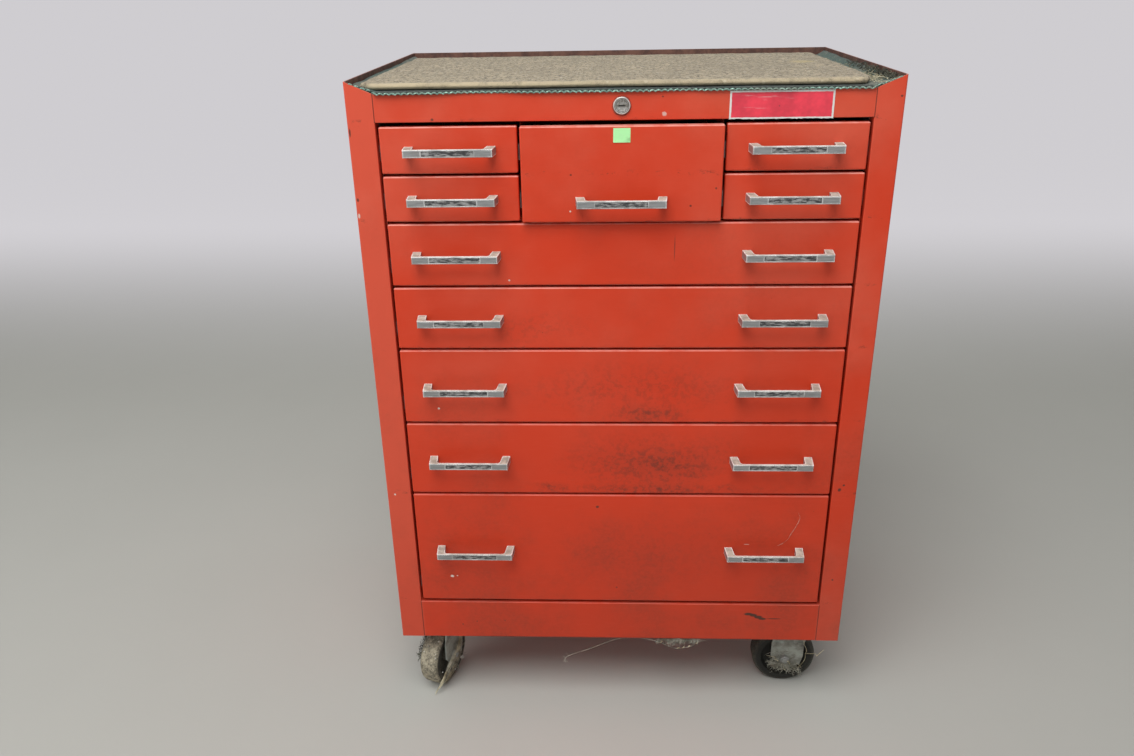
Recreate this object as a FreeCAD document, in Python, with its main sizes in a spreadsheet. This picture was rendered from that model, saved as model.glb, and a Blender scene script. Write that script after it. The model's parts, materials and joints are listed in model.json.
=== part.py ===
"""A sheet-steel roller tool cabinet: ten drawers, a key lock and four swivel casters.

Lengths are millimetres. X runs to the right, Y from the front to the back and Z up.
The origin is on the floor, below the middle of the cabinet's overall plan outline.
"""
import FreeCAD, Part
import math
import os
import Sketcher
from FreeCAD import Placement, Rotation, Vector

DRIVING_SIZES = [
    # the painted shell
    ("body_width", "686", "over the side panels"),
    ("body_depth", "457", "front face to back face"),
    ("body_height", "845", "bottom edge to the top of the rim"),
    ("body_lift", "128", "floor to the bottom edge"),
    ("shell_sheet", "1.2", "thickness of the cabinet's sheet"),
    ("post_width", "35", "front flange of a side panel"),
    ("post_return", "22", "depth of the fold behind that flange"),
    ("back_flange", "16", "rear flange of a side panel"),
    ("bend_radius", "2", "outer radius of a folded corner"),
    ("hem_height", "11", "folded edge along the rim"),
    ("rim_rise", "14.6", "rim above the tray floor"),
    ("tray_flange", "15", "turned-down edge of the tray"),
    ("rail_height", "35", "front top rail"),
    ("rail_flange", "20", "folds behind the front top rail"),
    ("apron_height", "67", "front bottom rail"),
    ("apron_ledge", "26", "fold at the top of the bottom rail"),
    ("apron_foot", "15", "fold at the foot of the bottom rail"),
    ("base_recess", "3", "underside of the base above the bottom edge"),
    ("base_flange", "20", "turned-up edge of the base"),
    ("seam_gap", "0.3", "play between folded pieces"),
    ("cut_overrun", "1", "how far a cutting outline runs past the sheet"),
    # drawers
    ("front_gap", "3.7", "between two drawer fronts"),
    ("side_gap", "3.5", "between a drawer front and a post"),
    ("foot_gap", "5.3", "between the lowest front and the bottom rail"),
    ("head_gap", "5.5", "between the uppermost fronts and the top rail"),
    ("small_height", "58.2", "front of a small bank drawer"),
    ("wide_height_one", "83.2", "front of the uppermost wide drawer"),
    ("wide_height_two", "86.4", "front of the second wide drawer"),
    ("wide_height_three", "109.2", "front of the third wide drawer"),
    ("wide_height_four", "112.2", "front of the fourth wide drawer"),
    ("middle_width", "253.5", "front of the middle bank drawer"),
    ("middle_ajar", "9", "how far the middle drawer stands open"),
    ("drawer_sheet", "1", "thickness of the drawers' sheet"),
    ("front_fold", "12", "depth of the folded edges of a drawer front"),
    ("front_radius", "2", "rounding of a drawer front's edges"),
    ("tray_drop", "10", "drawer sides below the top of the front"),
    ("back_space", "46", "between a drawer's back and the cabinet's back face"),
    ("edge_hem", "4", "safe edge folded along the top of a drawer's sides"),
    # slides
    ("slide_space", "12.7", "between a drawer's side and what carries it"),
    ("slide_height", "20", "fixed slide channel"),
    ("slide_depth", "10", "fixed slide channel"),
    ("slide_back_gap", "33", "between a slide's end and the cabinet's back face"),
    ("slide_sheet", "1.2", "thickness of channel and runner"),
    ("slide_play", "0.5", "between runner and channel"),
    ("slide_rise", "24", "slide's middle above the drawer's lower edge"),
    ("slide_setback", "2", "slide's end behind the drawer front's folds"),
    ("upright_depth", "30", "slide upright, front to back"),
    ("shelf_gap", "1.2", "shelf below the lowest bank drawers"),
    ("shelf_flange", "12", "turned-down edge of the shelf"),
    ("divider_flange", "12", "top and bottom folds of a bank divider"),
    # pulls
    ("pull_length", "112", "along the front of the bar"),
    ("pull_splay", "2", "how far each leg spreads towards the drawer"),
    ("pull_reach", "24.5", "drawer front to the front of the bar"),
    ("pull_bar", "3", "thickness of the bar"),
    ("pull_height", "10", "height of bar and legs"),
    ("pull_leg", "11", "width of a leg at the drawer"),
    ("pull_taper", "2.5", "slope in the corner of leg and bar"),
    ("pull_edge", "0.9", "rounding along the bar"),
    ("inlay_length", "66", "recess in the bar"),
    ("inlay_height", "6.8", "recess in the bar"),
    ("inlay_depth", "0.8", "recess in the bar"),
    ("pull_from_side", "127.4", "outer face of the cabinet to a pull's middle"),
    ("middle_pull_drop", "32.5", "middle drawer's pull below the front's middle"),
    # lock
    ("lock_radius", "10.65", "round face of the lock"),
    ("lock_face", "3", "lock face in front of the rail"),
    ("lock_body_radius", "9.5", "threaded body of the lock"),
    ("lock_body_length", "26", "threaded body behind the rail's face"),
    ("lock_nut_width", "24", "across the flats of the lock's nut"),
    ("lock_nut_height", "5", "thickness of the lock's nut"),
    ("lock_notch_play", "3", "tray's edge round the lock's body"),
    ("plug_radius", "7", "turning plug"),
    ("plug_play", "0.06", "between turning and fixed parts of the lock"),
    ("keyway_width", "8.6", "slot in the plug"),
    ("keyway_height", "1.7", "slot in the plug"),
    ("keyway_depth", "10", "slot in the plug"),
    ("rod_radius", "3", "rod from the plug to the lock bar"),
    ("eccentric_radius", "9", "disc at the rod's end"),
    ("eccentric_height", "3", "thickness of that disc"),
    ("crank_pin_radius", "2", "pin on that disc"),
    ("bar_travel", "7", "stroke of the lock bar"),
    ("bar_width", "30", "lock bar"),
    ("bar_sheet", "2", "thickness of the lock bar"),
    ("bar_play", "0.5", "between the lock bar and its guides"),
    ("hook_width", "14", "hook of the lock bar"),
    ("hook_lift", "2", "open hook above a drawer's back"),
    ("hook_finger", "6", "length of a hook's finger"),
    ("hook_clearance", "1.5", "hook's finger in front of a drawer's back"),
    ("arm_span", "440", "cross arms of the lock bar"),
    ("arm_height", "14", "cross arms of the lock bar"),
    ("guide_height", "16", "guide strap of the lock bar"),
    ("bracket_setback", "30", "rod bracket in front of the eccentric"),
    # casters
    ("caster_inset_side", "55", "swivel axis from the cabinet's side"),
    ("caster_inset_end", "70", "swivel axis from the cabinet's front or back"),
    ("caster_trail", "14", "wheel axle behind the swivel axis"),
    ("plate_width", "76", "caster plate"),
    ("plate_length", "92", "caster plate"),
    ("plate_sheet", "3", "thickness of the caster plate"),
    ("bolt_space_across", "58", "caster bolts"),
    ("bolt_space_along", "74", "caster bolts"),
    ("bolt_radius", "3.9", "caster bolts"),
    ("bolt_play", "0.3", "caster bolt in its hole"),
    ("bolt_head_height", "4", "caster bolts"),
    ("bolt_head_width", "12.7", "across the flats of a bolt's head"),
    ("bolt_nut_height", "6", "caster bolts' nuts"),
    ("bolt_end", "3", "a bolt's thread beyond its nut"),
    ("race_radius", "27", "ball race under the plate"),
    ("race_height", "5", "ball race under the plate"),
    ("kingpin_radius", "6", "swivel pin"),
    ("kingpin_head", "9", "radius of the swivel pin's rivet head"),
    ("pin_play", "0.06", "between a pin and its hole"),
    ("swivel_gap", "0.4", "between turning and fixed parts of a caster"),
    ("fork_sheet", "2.6", "thickness of the fork"),
    ("crown_radius", "28", "fork's crown"),
    ("leg_trail_side", "22", "fork leg behind the axle"),
    ("leg_swivel_side", "30", "fork leg on the swivel's side of the axle"),
    ("leg_below_axle", "18", "fork leg below the axle"),
    ("wheel_radius", "50.8", "caster wheel"),
    ("wheel_width", "32", "tread of the wheel"),
    ("hub_width", "35", "hub of the wheel"),
    ("hub_radius", "12", "hub of the wheel"),
    ("web_thickness", "14", "web of the wheel"),
    ("rim_radius", "37.6", "side of the wheel's tread, nearest the axle"),
    ("tread_shoulder", "3", "rounding of the tread"),
    ("wheel_gap", "0.6", "between the hub and a fork leg"),
    ("axle_radius", "4", "wheel's axle bolt"),
    ("axle_head_width", "13", "across the flats of the axle's head and nut"),
    ("axle_head_height", "5", "head and nut of the axle"),
    # how the casters stand, in degrees about Z from trailing to the front
    ("angle_front_left", "-21", "front left caster"),
    ("angle_front_right", "-90", "front right caster"),
    ("angle_rear_left", "140", "rear left caster"),
    ("angle_rear_right", "-128", "rear right caster"),
    # what lies in the top tray
    ("liner_thickness", "3", "woven liner"),
    ("liner_play", "1.5", "between the liner and the rim"),
    ("pad_thickness", "8", "worn pad on the liner"),
    ("pad_inset_left", "15", "pad from the cabinet's left side"),
    ("pad_inset_right", "35", "pad from the cabinet's right side"),
    ("pad_inset_front", "6", "pad from the cabinet's front"),
    ("pad_inset_back", "57", "pad from the cabinet's back"),
    ("soft_play", "0.3", "below each soft layer"),
]

doc = FreeCAD.newDocument("roller_tool_cabinet")
sheet = doc.addObject("Spreadsheet::Sheet", "Sizes")


class Size:
    """A length held both as a number and as a formula of the size sheet."""

    def __init__(self, value, text):
        self.value = float(value)
        self.text = text

    def __add__(self, other):
        other = as_size(other)
        return Size(self.value + other.value, f"({self.text} + {other.text})")

    def __radd__(self, other):
        return as_size(other) + self

    def __sub__(self, other):
        other = as_size(other)
        return Size(self.value - other.value, f"({self.text} - {other.text})")

    def __rsub__(self, other):
        return as_size(other) - self

    def __mul__(self, factor):
        return Size(self.value * factor, f"({self.text} * {factor:.12g})")

    __rmul__ = __mul__

    def __truediv__(self, factor):
        return Size(self.value / factor, f"({self.text} / {factor:.12g})")

    def __neg__(self):
        return self * -1


def as_size(number):
    """A plain number as a Size."""
    if isinstance(number, Size):
        return number
    return Size(number, f"{number:.12g}")


def fill_sheet():
    """Write the driving sizes to the sheet and return them by name."""
    for row, (alias, value, use) in enumerate(DRIVING_SIZES, start=1):
        sheet.set(f"A{row}", alias)
        sheet.set(f"B{row}", value)
        sheet.set(f"C{row}", use)
        sheet.setAlias(f"B{row}", alias)
    doc.recompute()
    return {alias: Size(sheet.get(alias), f"Sizes.{alias}") for alias, value, use in DRIVING_SIZES}


class Named:
    """The sizes as attributes."""

    def __init__(self, sizes):
        self.__dict__.update(sizes)


s = Named(fill_sheet())


# ---------------------------------------------------------------- drawing helpers

def bind(item, path, size):
    """Tie one property of an object to a formula of the sheet."""
    item.setExpression(path, as_size(size).text)


def new_body(label, x=0, y=0, z=0, turn=None):
    """A body placed by formulas, turned about Z where a turn is given."""
    body = doc.addObject("PartDesign::Body", label)
    body.Label = label
    body.AllowCompound = True
    if turn is not None:
        body.Placement = Placement(Vector(0, 0, 0), Rotation(Vector(0, 0, 1), 1))
        bind(body, ".Placement.Rotation.Angle", turn)
    bind(body, ".Placement.Base.x", x)
    bind(body, ".Placement.Base.y", y)
    bind(body, ".Placement.Base.z", z)
    return body


def origin_plane(body, role):
    """One of the body's own origin planes, such as XY_Plane."""
    return next(item for item in body.Origin.OriginFeatures if item.Role == role)


def circle(x, y, radius):
    """A round outline."""
    return ("circle", x, y, radius)


def rectangle(low_x, low_y, high_x, high_y):
    """A rectangular outline from two opposite corners."""
    return [(low_x, low_y), (high_x, low_y), (high_x, high_y), (low_x, high_y)]


def hexagon(x, y, across_flats):
    """A hexagonal outline with flats at the left and right."""
    corner = across_flats / (2 * math.cos(math.radians(30)))
    angles = [math.radians(60 * turn + 30) for turn in range(6)]
    return [(x + corner * math.cos(angle), y + corner * math.sin(angle)) for angle in angles]


def mirrored(outline):
    """The outline on the other side of the middle plane."""
    return [(-as_size(x), y) for x, y in outline]


def draw_circle(sketch, x, y, radius):
    """Add one fully constrained circle."""
    x, y, radius = as_size(x), as_size(y), as_size(radius)
    centre = Vector(x.value, y.value, 0)
    index = sketch.addGeometry(Part.Circle(centre, Vector(0, 0, 1), radius.value))
    constraints = [
        (Sketcher.Constraint("DistanceX", -1, 1, index, 3, x.value), x),
        (Sketcher.Constraint("DistanceY", -1, 1, index, 3, y.value), y),
        (Sketcher.Constraint("Radius", index, radius.value), radius),
    ]
    for constraint, size in constraints:
        number = sketch.addConstraint(constraint)
        bind(sketch, f"Constraints[{number}]", size)


def draw_polygon(sketch, outline):
    """Add one closed outline of straight lines, each corner tied to its formulas."""
    corners = [(as_size(x), as_size(y)) for x, y in outline]
    points = [Vector(x.value, y.value, 0) for x, y in corners]
    lines = []
    for start, end in zip(points, points[1:] + points[:1]):
        lines.append(sketch.addGeometry(Part.LineSegment(start, end)))
    for line, following in zip(lines, lines[1:] + lines[:1]):
        sketch.addConstraint(Sketcher.Constraint("Coincident", line, 2, following, 1))
    for line, (x, y) in zip(lines, corners):
        for kind, size in (("DistanceX", x), ("DistanceY", y)):
            number = sketch.addConstraint(Sketcher.Constraint(kind, -1, 1, line, 1, size.value))
            bind(sketch, f"Constraints[{number}]", size)


def new_sketch(body, name, plane, outlines, offset):
    """A sketch of closed outlines on an origin plane, moved along the plane's normal."""
    sketch = body.newObject("Sketcher::SketchObject", f"{body.Name}_{name}_sketch")
    sketch.AttachmentSupport = [(origin_plane(body, f"{plane}_Plane"), "")]
    sketch.MapMode = "FlatFace"
    bind(sketch, ".AttachmentOffset.Base.z", offset)
    for outline in outlines:
        if outline[0] == "circle":
            draw_circle(sketch, *outline[1:])
        else:
            draw_polygon(sketch, outline)
    return sketch


def extrude(kind, body, name, plane, outlines, start, end):
    """Pad or pocket closed outlines from start to end, measured along X, Y or Z.

    The normal of the XZ plane points to -Y, that of the others along the positive axis.
    """
    start, end = as_size(start), as_size(end)
    backwards = plane == "XZ"
    sketch = new_sketch(body, name, plane, outlines, -start if backwards else start)
    feature = body.newObject(f"PartDesign::{kind}", f"{body.Name}_{name}")
    feature.Profile = sketch
    bind(feature, "Length", end - start)
    feature.Reversed = backwards if kind == "Pad" else not backwards
    doc.recompute()
    return feature


def pad(body, name, plane, outlines, start, end):
    """Add material from start to end."""
    return extrude("Pad", body, name, plane, outlines, start, end)


def pocket(body, name, plane, outlines, start, end):
    """Take material away from start to end, and make sure that some went."""
    before = body.Shape.Volume
    feature = extrude("Pocket", body, name, plane, outlines, start, end)
    if body.Shape.Volume >= before:
        raise RuntimeError(f"{feature.Name} cuts nothing")
    return feature


def revolve(body, name, outlines, offset, axis_height):
    """Turn outlines of the XZ plane about a line along X at the given height."""
    sketch = new_sketch(body, name, "XZ", outlines, -as_size(offset))
    height = as_size(axis_height)
    ends = (Vector(-1, height.value, 0), Vector(1, height.value, 0))
    axis = sketch.addGeometry(Part.LineSegment(*ends), True)
    for point, x in ((1, -1), (2, 1)):
        sketch.addConstraint(Sketcher.Constraint("DistanceX", -1, 1, axis, point, x))
        number = sketch.addConstraint(Sketcher.Constraint("DistanceY", -1, 1, axis, point, height.value))
        bind(sketch, f"Constraints[{number}]", height)
    feature = body.newObject("PartDesign::Revolution", f"{body.Name}_{name}")
    feature.Profile = sketch
    feature.ReferenceAxis = (sketch, ["Axis0"])
    feature.Angle = 360
    doc.recompute()
    return feature


def round_edges(body, name, feature, radius, chosen):
    """Round the feature's edges for which chosen(edge) is true."""
    names = [f"Edge{number}" for number, edge in enumerate(feature.Shape.Edges, start=1) if chosen(edge)]
    fillet = body.newObject("PartDesign::Fillet", f"{body.Name}_{name}")
    fillet.Base = (feature, names)
    bind(fillet, "Radius", radius)
    doc.recompute()
    return fillet


def edge_box(edge):
    """The corners of the box round an edge."""
    box = edge.BoundBox
    return (box.XMin, box.YMin, box.ZMin), (box.XMax, box.YMax, box.ZMax)


def near(first, second):
    """Whether two lengths are the same."""
    return abs(float(first) - float(second)) < 0.01


def edge_at(edge, **places):
    """Whether the whole edge lies at the given x, y or z."""
    low, high = edge_box(edge)
    for axis, place in places.items():
        index = "xyz".index(axis)
        value = as_size(place).value
        if not (near(low[index], value) and near(high[index], value)):
            return False
    return True


# ---------------------------------------------------------------- derived places

sheet_t = s.shell_sheet
cut = s.cut_overrun                                     # cutting outlines run past the sheet
half_width = s.body_width / 2
inner_half = half_width - sheet_t                       # inner face of a side panel
opening_half = half_width - s.post_width                # side of the drawer opening
floor_top = s.body_height - s.rim_rise                  # tray floor
floor_under = floor_top - sheet_t
rail_bottom = floor_top - s.rail_height
back_inner = s.body_depth - sheet_t                     # inner face of the back panel
flange_front = s.body_depth - 2 * sheet_t               # front of the side panels' rear flange
fold_front = s.post_return + s.seam_gap                 # folded edges start behind the posts
base_top = s.base_recess + sheet_t
drawer_reach = s.pull_reach + s.middle_ajar             # furthest point in front of the posts
front_y = (drawer_reach - s.body_depth) / 2
slide_start = s.front_fold + s.slide_setback
slide_end = s.body_depth - s.slide_back_gap
drawer_depth = s.body_depth - s.back_space - s.drawer_sheet
upright_front = fold_front + sheet_t + s.seam_gap
upright_outer = inner_half - sheet_t
lock_z = rail_bottom + s.rail_height / 2

small_floors = [rail_bottom - s.head_gap - s.small_height]
small_floors.append(small_floors[0] - s.front_gap - s.small_height)
middle_floor = small_floors[1]
wide_half = opening_half - s.side_gap
wide_heights = [s.wide_height_one, s.wide_height_two, s.wide_height_three, s.wide_height_four]
wide_floors = []
last_floor = middle_floor
for height in wide_heights:
    last_floor = last_floor - s.front_gap - height
    wide_floors.append(last_floor)
lowest_floor = s.apron_height + s.foot_gap
wide_heights.append(last_floor - s.front_gap - lowest_floor)
wide_floors.append(lowest_floor)
middle_height = 2 * s.small_height + s.front_gap
shelf_top = middle_floor - s.shelf_gap

middle_half = s.middle_width / 2
divider_inner = middle_half + s.front_gap / 2 - sheet_t / 2
divider_outer = divider_inner + sheet_t
small_inner = middle_half + s.front_gap
small_outer = wide_half
small_width = small_outer - small_inner
small_centre = (small_outer + small_inner) / 2

cabinet_place = {"y": front_y, "z": s.body_lift}


# ---------------------------------------------------------------- the painted shell

def side_panel(label, side):
    """One side, folded into a front post and a rear flange, with a hemmed rim.

    The post's top slopes from the rim down to the tray floor.
    """
    body = new_body(label, **cabinet_place)
    outline = [
        (half_width, 0),
        (opening_half, 0),
        (opening_half, s.post_return),
        (opening_half + sheet_t, s.post_return),
        (opening_half + sheet_t, sheet_t),
        (inner_half, sheet_t),
        (inner_half, flange_front),
        (inner_half - s.back_flange, flange_front),
        (inner_half - s.back_flange, back_inner),
        (half_width, back_inner),
    ]
    slope = [
        (inner_half, s.body_height + cut),
        (inner_half, s.body_height),
        (opening_half, floor_top),
        (opening_half - cut, floor_top),
        (opening_half - cut, s.body_height + cut),
    ]
    notch = rectangle(opening_half - cut, floor_under, opening_half + 2 * sheet_t, s.body_height + cut)
    hem = rectangle(inner_half - sheet_t, s.body_height - s.hem_height, inner_half, s.body_height)
    if side < 0:
        outline, slope, notch, hem = [mirrored(item) for item in (outline, slope, notch, hem)]
    skin = pad(body, "skin", "XY", [outline], 0, s.body_height)

    corner = round_edges(body, "corner", skin, s.bend_radius,
                         lambda edge: edge_at(edge, x=half_width * side, y=0))
    round_edges(body, "opening_bend", corner, s.bend_radius / 2,
                lambda edge: edge_at(edge, x=opening_half * side, y=0))
    pocket(body, "slope", "XZ", [slope], -cut, s.post_return + cut)
    pocket(body, "notch", "XZ", [notch], sheet_t, s.post_return + cut)
    pad(body, "hem", "XZ", [hem], sheet_t, flange_front)
    return body


def back_panel():
    """The plain back with its rim hem."""
    body = new_body("back_panel", **cabinet_place)
    pad(body, "skin", "XZ", [rectangle(-half_width, 0, half_width, s.body_height)],
        back_inner, s.body_depth)
    hem_half = inner_half - s.back_flange - s.seam_gap
    hem = rectangle(-hem_half, s.body_height - s.hem_height, hem_half, s.body_height)
    pad(body, "hem", "XZ", [hem], flange_front, back_inner)
    return body


def folded_rim(front, outer, back):
    """Two outlines, one inside the other, of a folded edge seen from above."""
    inside = outer - sheet_t
    return [
        rectangle(-outer, front, outer, back),
        rectangle(-inside, front + sheet_t, inside, back - sheet_t),
    ]


def top_tray():
    """The tray floor, with its edges turned down inside the shell and cut out at the lock."""
    body = new_body("top_tray", **cabinet_place)
    floor = [
        (-inner_half, sheet_t), (-opening_half, sheet_t), (-opening_half, 0),
        (opening_half, 0), (opening_half, sheet_t), (inner_half, sheet_t),
        (inner_half, flange_front), (-inner_half, flange_front),
    ]
    sheet_floor = pad(body, "floor", "XY", [floor], floor_under, floor_top)
    round_edges(body, "front_bend", sheet_floor, s.bend_radius / 2,
                lambda edge: edge_at(edge, y=0, z=floor_top))
    low = floor_under - s.tray_flange
    pad(body, "edges", "XY", folded_rim(fold_front, inner_half, flange_front), low, floor_under)
    half = s.lock_body_radius + s.lock_notch_play
    notch = rectangle(-half, low - cut, half, lock_z + half)
    pocket(body, "lock_notch", "XZ", [notch], fold_front - cut, fold_front + sheet_t + cut)
    return body


def front_top_rail():
    """The channel across the top of the front, with the lock's hole."""
    body = new_body("front_top_rail", **cabinet_place)
    top = floor_under
    outline = [
        (0, rail_bottom), (s.rail_flange, rail_bottom), (s.rail_flange, rail_bottom + sheet_t),
        (sheet_t, rail_bottom + sheet_t), (sheet_t, top - sheet_t), (s.rail_flange, top - sheet_t),
        (s.rail_flange, top), (0, top),
    ]
    channel = pad(body, "channel", "YZ", [outline], -opening_half, opening_half)
    round_edges(body, "bend", channel, s.bend_radius / 2,
                lambda edge: edge_at(edge, y=0, z=rail_bottom))
    hole = circle(0, lock_z, s.lock_body_radius + s.plug_play)
    pocket(body, "lock_hole", "XZ", [hole], -cut, sheet_t + cut)
    return body


def front_bottom_rail():
    """The channel across the foot of the front."""
    body = new_body("front_bottom_rail", **cabinet_place)
    top = s.apron_height
    outline = [
        (0, 0), (s.apron_foot, 0), (s.apron_foot, sheet_t), (sheet_t, sheet_t),
        (sheet_t, top - sheet_t), (s.apron_ledge, top - sheet_t), (s.apron_ledge, top), (0, top),
    ]
    channel = pad(body, "channel", "YZ", [outline], -opening_half, opening_half)
    round_edges(body, "bends", channel, s.bend_radius / 2,
                lambda edge: edge_at(edge, y=0, z=0) or edge_at(edge, y=0, z=top))
    return body


def caster_axes():
    """The four swivel axes by name, from the middle of the front's lower edge."""
    x = half_width - s.caster_inset_side
    front = s.caster_inset_end
    rear = s.body_depth - s.caster_inset_end
    return {"front_left": (-x, front), "front_right": (x, front),
            "rear_left": (-x, rear), "rear_right": (x, rear)}


def bolt_places(x, y):
    """The middle of each of the four bolts of a caster, in plan."""
    across = s.bolt_space_across / 2
    along = s.bolt_space_along / 2
    return rectangle(x - across, y - along, x + across, y + along)


def bolt_holes():
    """The outlines of all the caster bolts' holes."""
    radius = s.bolt_radius + s.bolt_play
    return [circle(*place, radius) for axis in caster_axes().values() for place in bolt_places(*axis)]


def base_pan():
    """The floor of the cabinet, notched round the posts and drilled for the casters."""
    body = new_body("base_pan", **cabinet_place)
    neck = opening_half - s.seam_gap
    floor = [
        (-inner_half, fold_front), (-neck, fold_front), (-neck, sheet_t),
        (neck, sheet_t), (neck, fold_front), (inner_half, fold_front),
        (inner_half, flange_front), (-inner_half, flange_front),
    ]
    pad(body, "floor", "XY", [floor], s.base_recess, base_top)
    pad(body, "edges", "XY", folded_rim(fold_front, inner_half, flange_front),
        base_top, base_top + s.base_flange)
    pocket(body, "bolt_holes", "XY", bolt_holes(), s.base_recess - cut, base_top + cut)
    return body


def upright_outline(front, side):
    """A slide upright seen from above: a channel open to the side panel."""
    back = front + s.upright_depth
    outline = [
        (opening_half, front), (upright_outer, front), (upright_outer, front + sheet_t),
        (opening_half + sheet_t, front + sheet_t), (opening_half + sheet_t, back - sheet_t),
        (upright_outer, back - sheet_t), (upright_outer, back), (opening_half, back),
    ]
    return outline if side > 0 else mirrored(outline)


def slide_uprights():
    """Four upright channels that carry the slides, front and rear on each side."""
    body = new_body("slide_uprights", **cabinet_place)
    rear = s.body_depth - upright_front - s.upright_depth
    outlines = [upright_outline(front, side) for side in (-1, 1) for front in (upright_front, rear)]
    pad(body, "channels", "XY", outlines, base_top, floor_under)
    return body


def bank_shelf():
    """The thin shelf under the bank of small drawers, hung between the uprights."""
    body = new_body("bank_shelf", **cabinet_place)
    under = shelf_top - sheet_t
    foot = shelf_top - s.shelf_flange
    inside = opening_half - sheet_t
    outline = [
        (-opening_half, foot), (-inside, foot), (-inside, under), (inside, under), (inside, foot),
        (opening_half, foot), (opening_half, shelf_top), (-opening_half, shelf_top),
    ]
    pad(body, "shelf", "XZ", [outline], slide_start, slide_end)
    return body


def bank_dividers():
    """Two upright sheets between the small drawers and the middle drawer."""
    body = new_body("bank_dividers", **cabinet_place)
    reach = divider_outer + s.divider_flange
    outline = [
        (divider_inner, shelf_top), (reach, shelf_top), (reach, shelf_top + sheet_t),
        (divider_outer, shelf_top + sheet_t), (divider_outer, floor_under - sheet_t),
        (reach, floor_under - sheet_t), (reach, floor_under), (divider_inner, floor_under),
    ]
    back = slide_end
    pad(body, "sheets", "XZ", [outline, mirrored(outline)], slide_start + s.tray_flange, back)
    return body


# ---------------------------------------------------------------- slides

def channel_outline(wall, toward, middle, height, depth):
    """A channel fastened to a wall at x = wall and open towards the given side."""
    t = s.slide_sheet
    low = middle - height / 2
    high = middle + height / 2
    tip = wall + toward * depth
    web = wall + toward * t
    return [(wall, low), (tip, low), (tip, low + t), (web, low + t),
            (web, high - t), (tip, high - t), (tip, high), (wall, high)]


def slide_channels():
    """The fixed channels: two for every drawer."""
    body = new_body("slide_channels", **cabinet_place)
    walls = [(opening_half, -1, floor) for floor in wide_floors + small_floors]
    walls += [(divider_outer, 1, floor) for floor in small_floors]
    walls += [(divider_inner, -1, middle_floor)]
    for number, (wall, toward, floor) in enumerate(walls, start=1):
        outline = channel_outline(wall, toward, floor + s.slide_rise, s.slide_height, s.slide_depth)
        pad(body, f"pair_{number}", "XZ", [outline, mirrored(outline)], slide_start, slide_end)
    return body


def runner_outline(wall, toward):
    """A runner on a drawer's side, nested in its fixed channel."""
    height = s.slide_height - 2 * s.slide_sheet - 2 * s.slide_play
    depth = s.slide_space - s.slide_sheet - s.slide_play
    return channel_outline(wall, toward, s.slide_rise, height, depth)


# ---------------------------------------------------------------- drawers

def drawer_body(label, centre, ajar, floor, width, height, left, right):
    """A drawer folded from sheet: a front with returned edges and an open tray behind it.

    left and right are the tray's outer sides, measured from the front's middle.
    """
    t = s.drawer_sheet
    body = new_body(label, x=centre, y=front_y - ajar, z=s.body_lift + floor)
    half = width / 2
    blank = pad(body, "front", "XZ", [rectangle(-half, 0, half, height)], 0, s.front_fold)

    def is_front_edge(edge):
        return edge_at(edge, y=0) or (near(edge.Length, s.front_fold.value) and edge_at(edge, z=height)) \
            or (near(edge.Length, s.front_fold.value) and edge_at(edge, z=0))

    round_edges(body, "front_bends", blank, s.front_radius, is_front_edge)
    inside = rectangle(-half + t, t, half - t, height - t)
    pocket(body, "front_hollow", "XZ", [inside], t, s.front_fold + cut)
    top = height - s.tray_drop
    back = t + drawer_depth
    pad(body, "tray", "XZ", [rectangle(left, 0, right, top)], t, back)
    pocket(body, "tray_hollow", "XY", [rectangle(left + t, t, right - t, back - t)], t, top)
    hems = [rectangle(left + t, top - s.edge_hem, left + 2 * t, top),
            rectangle(right - 2 * t, top - s.edge_hem, right - t, top)]
    pad(body, "hems", "XZ", hems, s.front_fold, back - t)
    return body


def wide_drawer(number, floor, height):
    """A drawer across the whole opening, with a pair of runners and a pair of pulls."""
    name = f"drawer_wide_{number}"
    side = opening_half - s.slide_space
    drawer_body(name, 0, 0, floor, 2 * wide_half, height, -side, side)
    runners = new_body(f"{name}_runners", y=front_y, z=s.body_lift + floor)
    outline = runner_outline(side, 1)
    pad(runners, "rails", "XZ", [outline, mirrored(outline)], slide_start, slide_end)
    spread = half_width - s.pull_from_side
    pulls(f"{name}_pulls", 0, 0, floor + height / 2, [-spread, spread])


def bank_drawer(name, centre, ajar, floor, width, height, left, right, pull_x, pull_z):
    """A drawer of the bank: its runners are welded on, and it has one pull."""
    body = drawer_body(name, centre, ajar, floor, width, height, left, right)
    rails = [runner_outline(right, 1), runner_outline(left, -1)]
    pad(body, "rails", "XZ", rails, slide_start, slide_end)
    pulls(f"{name}_pull", centre + pull_x, ajar, pull_z, [0])


def pulls(label, x, ajar, z, places):
    """Cast bar pulls with splayed legs, sloped corners and a recess along the bar."""
    body = new_body(label, x=x, y=front_y - ajar, z=s.body_lift + z)
    half = s.pull_length / 2
    foot = half + s.pull_splay
    bar_back = -s.pull_reach + s.pull_bar
    knee = half - s.pull_leg
    right_side = [
        (half, -s.pull_reach), (foot, 0), (foot - s.pull_leg, 0),
        (knee, bar_back + s.pull_taper), (knee - s.pull_taper, bar_back),
    ]
    outline = right_side + list(reversed(mirrored(right_side)))
    outlines = [[(place + px, py) for px, py in outline] for place in places]
    low = -s.pull_height / 2
    high = s.pull_height / 2
    blank = pad(body, "bar", "XY", outlines, low, high)
    reach = -s.pull_reach

    def is_bar_edge(edge):
        return edge_at(edge, y=reach)

    round_edges(body, "soft_edges", blank, s.pull_edge, is_bar_edge)
    inlays = [rectangle(place - s.inlay_length / 2, -s.inlay_height / 2,
                        place + s.inlay_length / 2, s.inlay_height / 2) for place in places]
    pocket(body, "inlays", "XZ", inlays, reach - cut, reach + s.inlay_depth)
    return body


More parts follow.
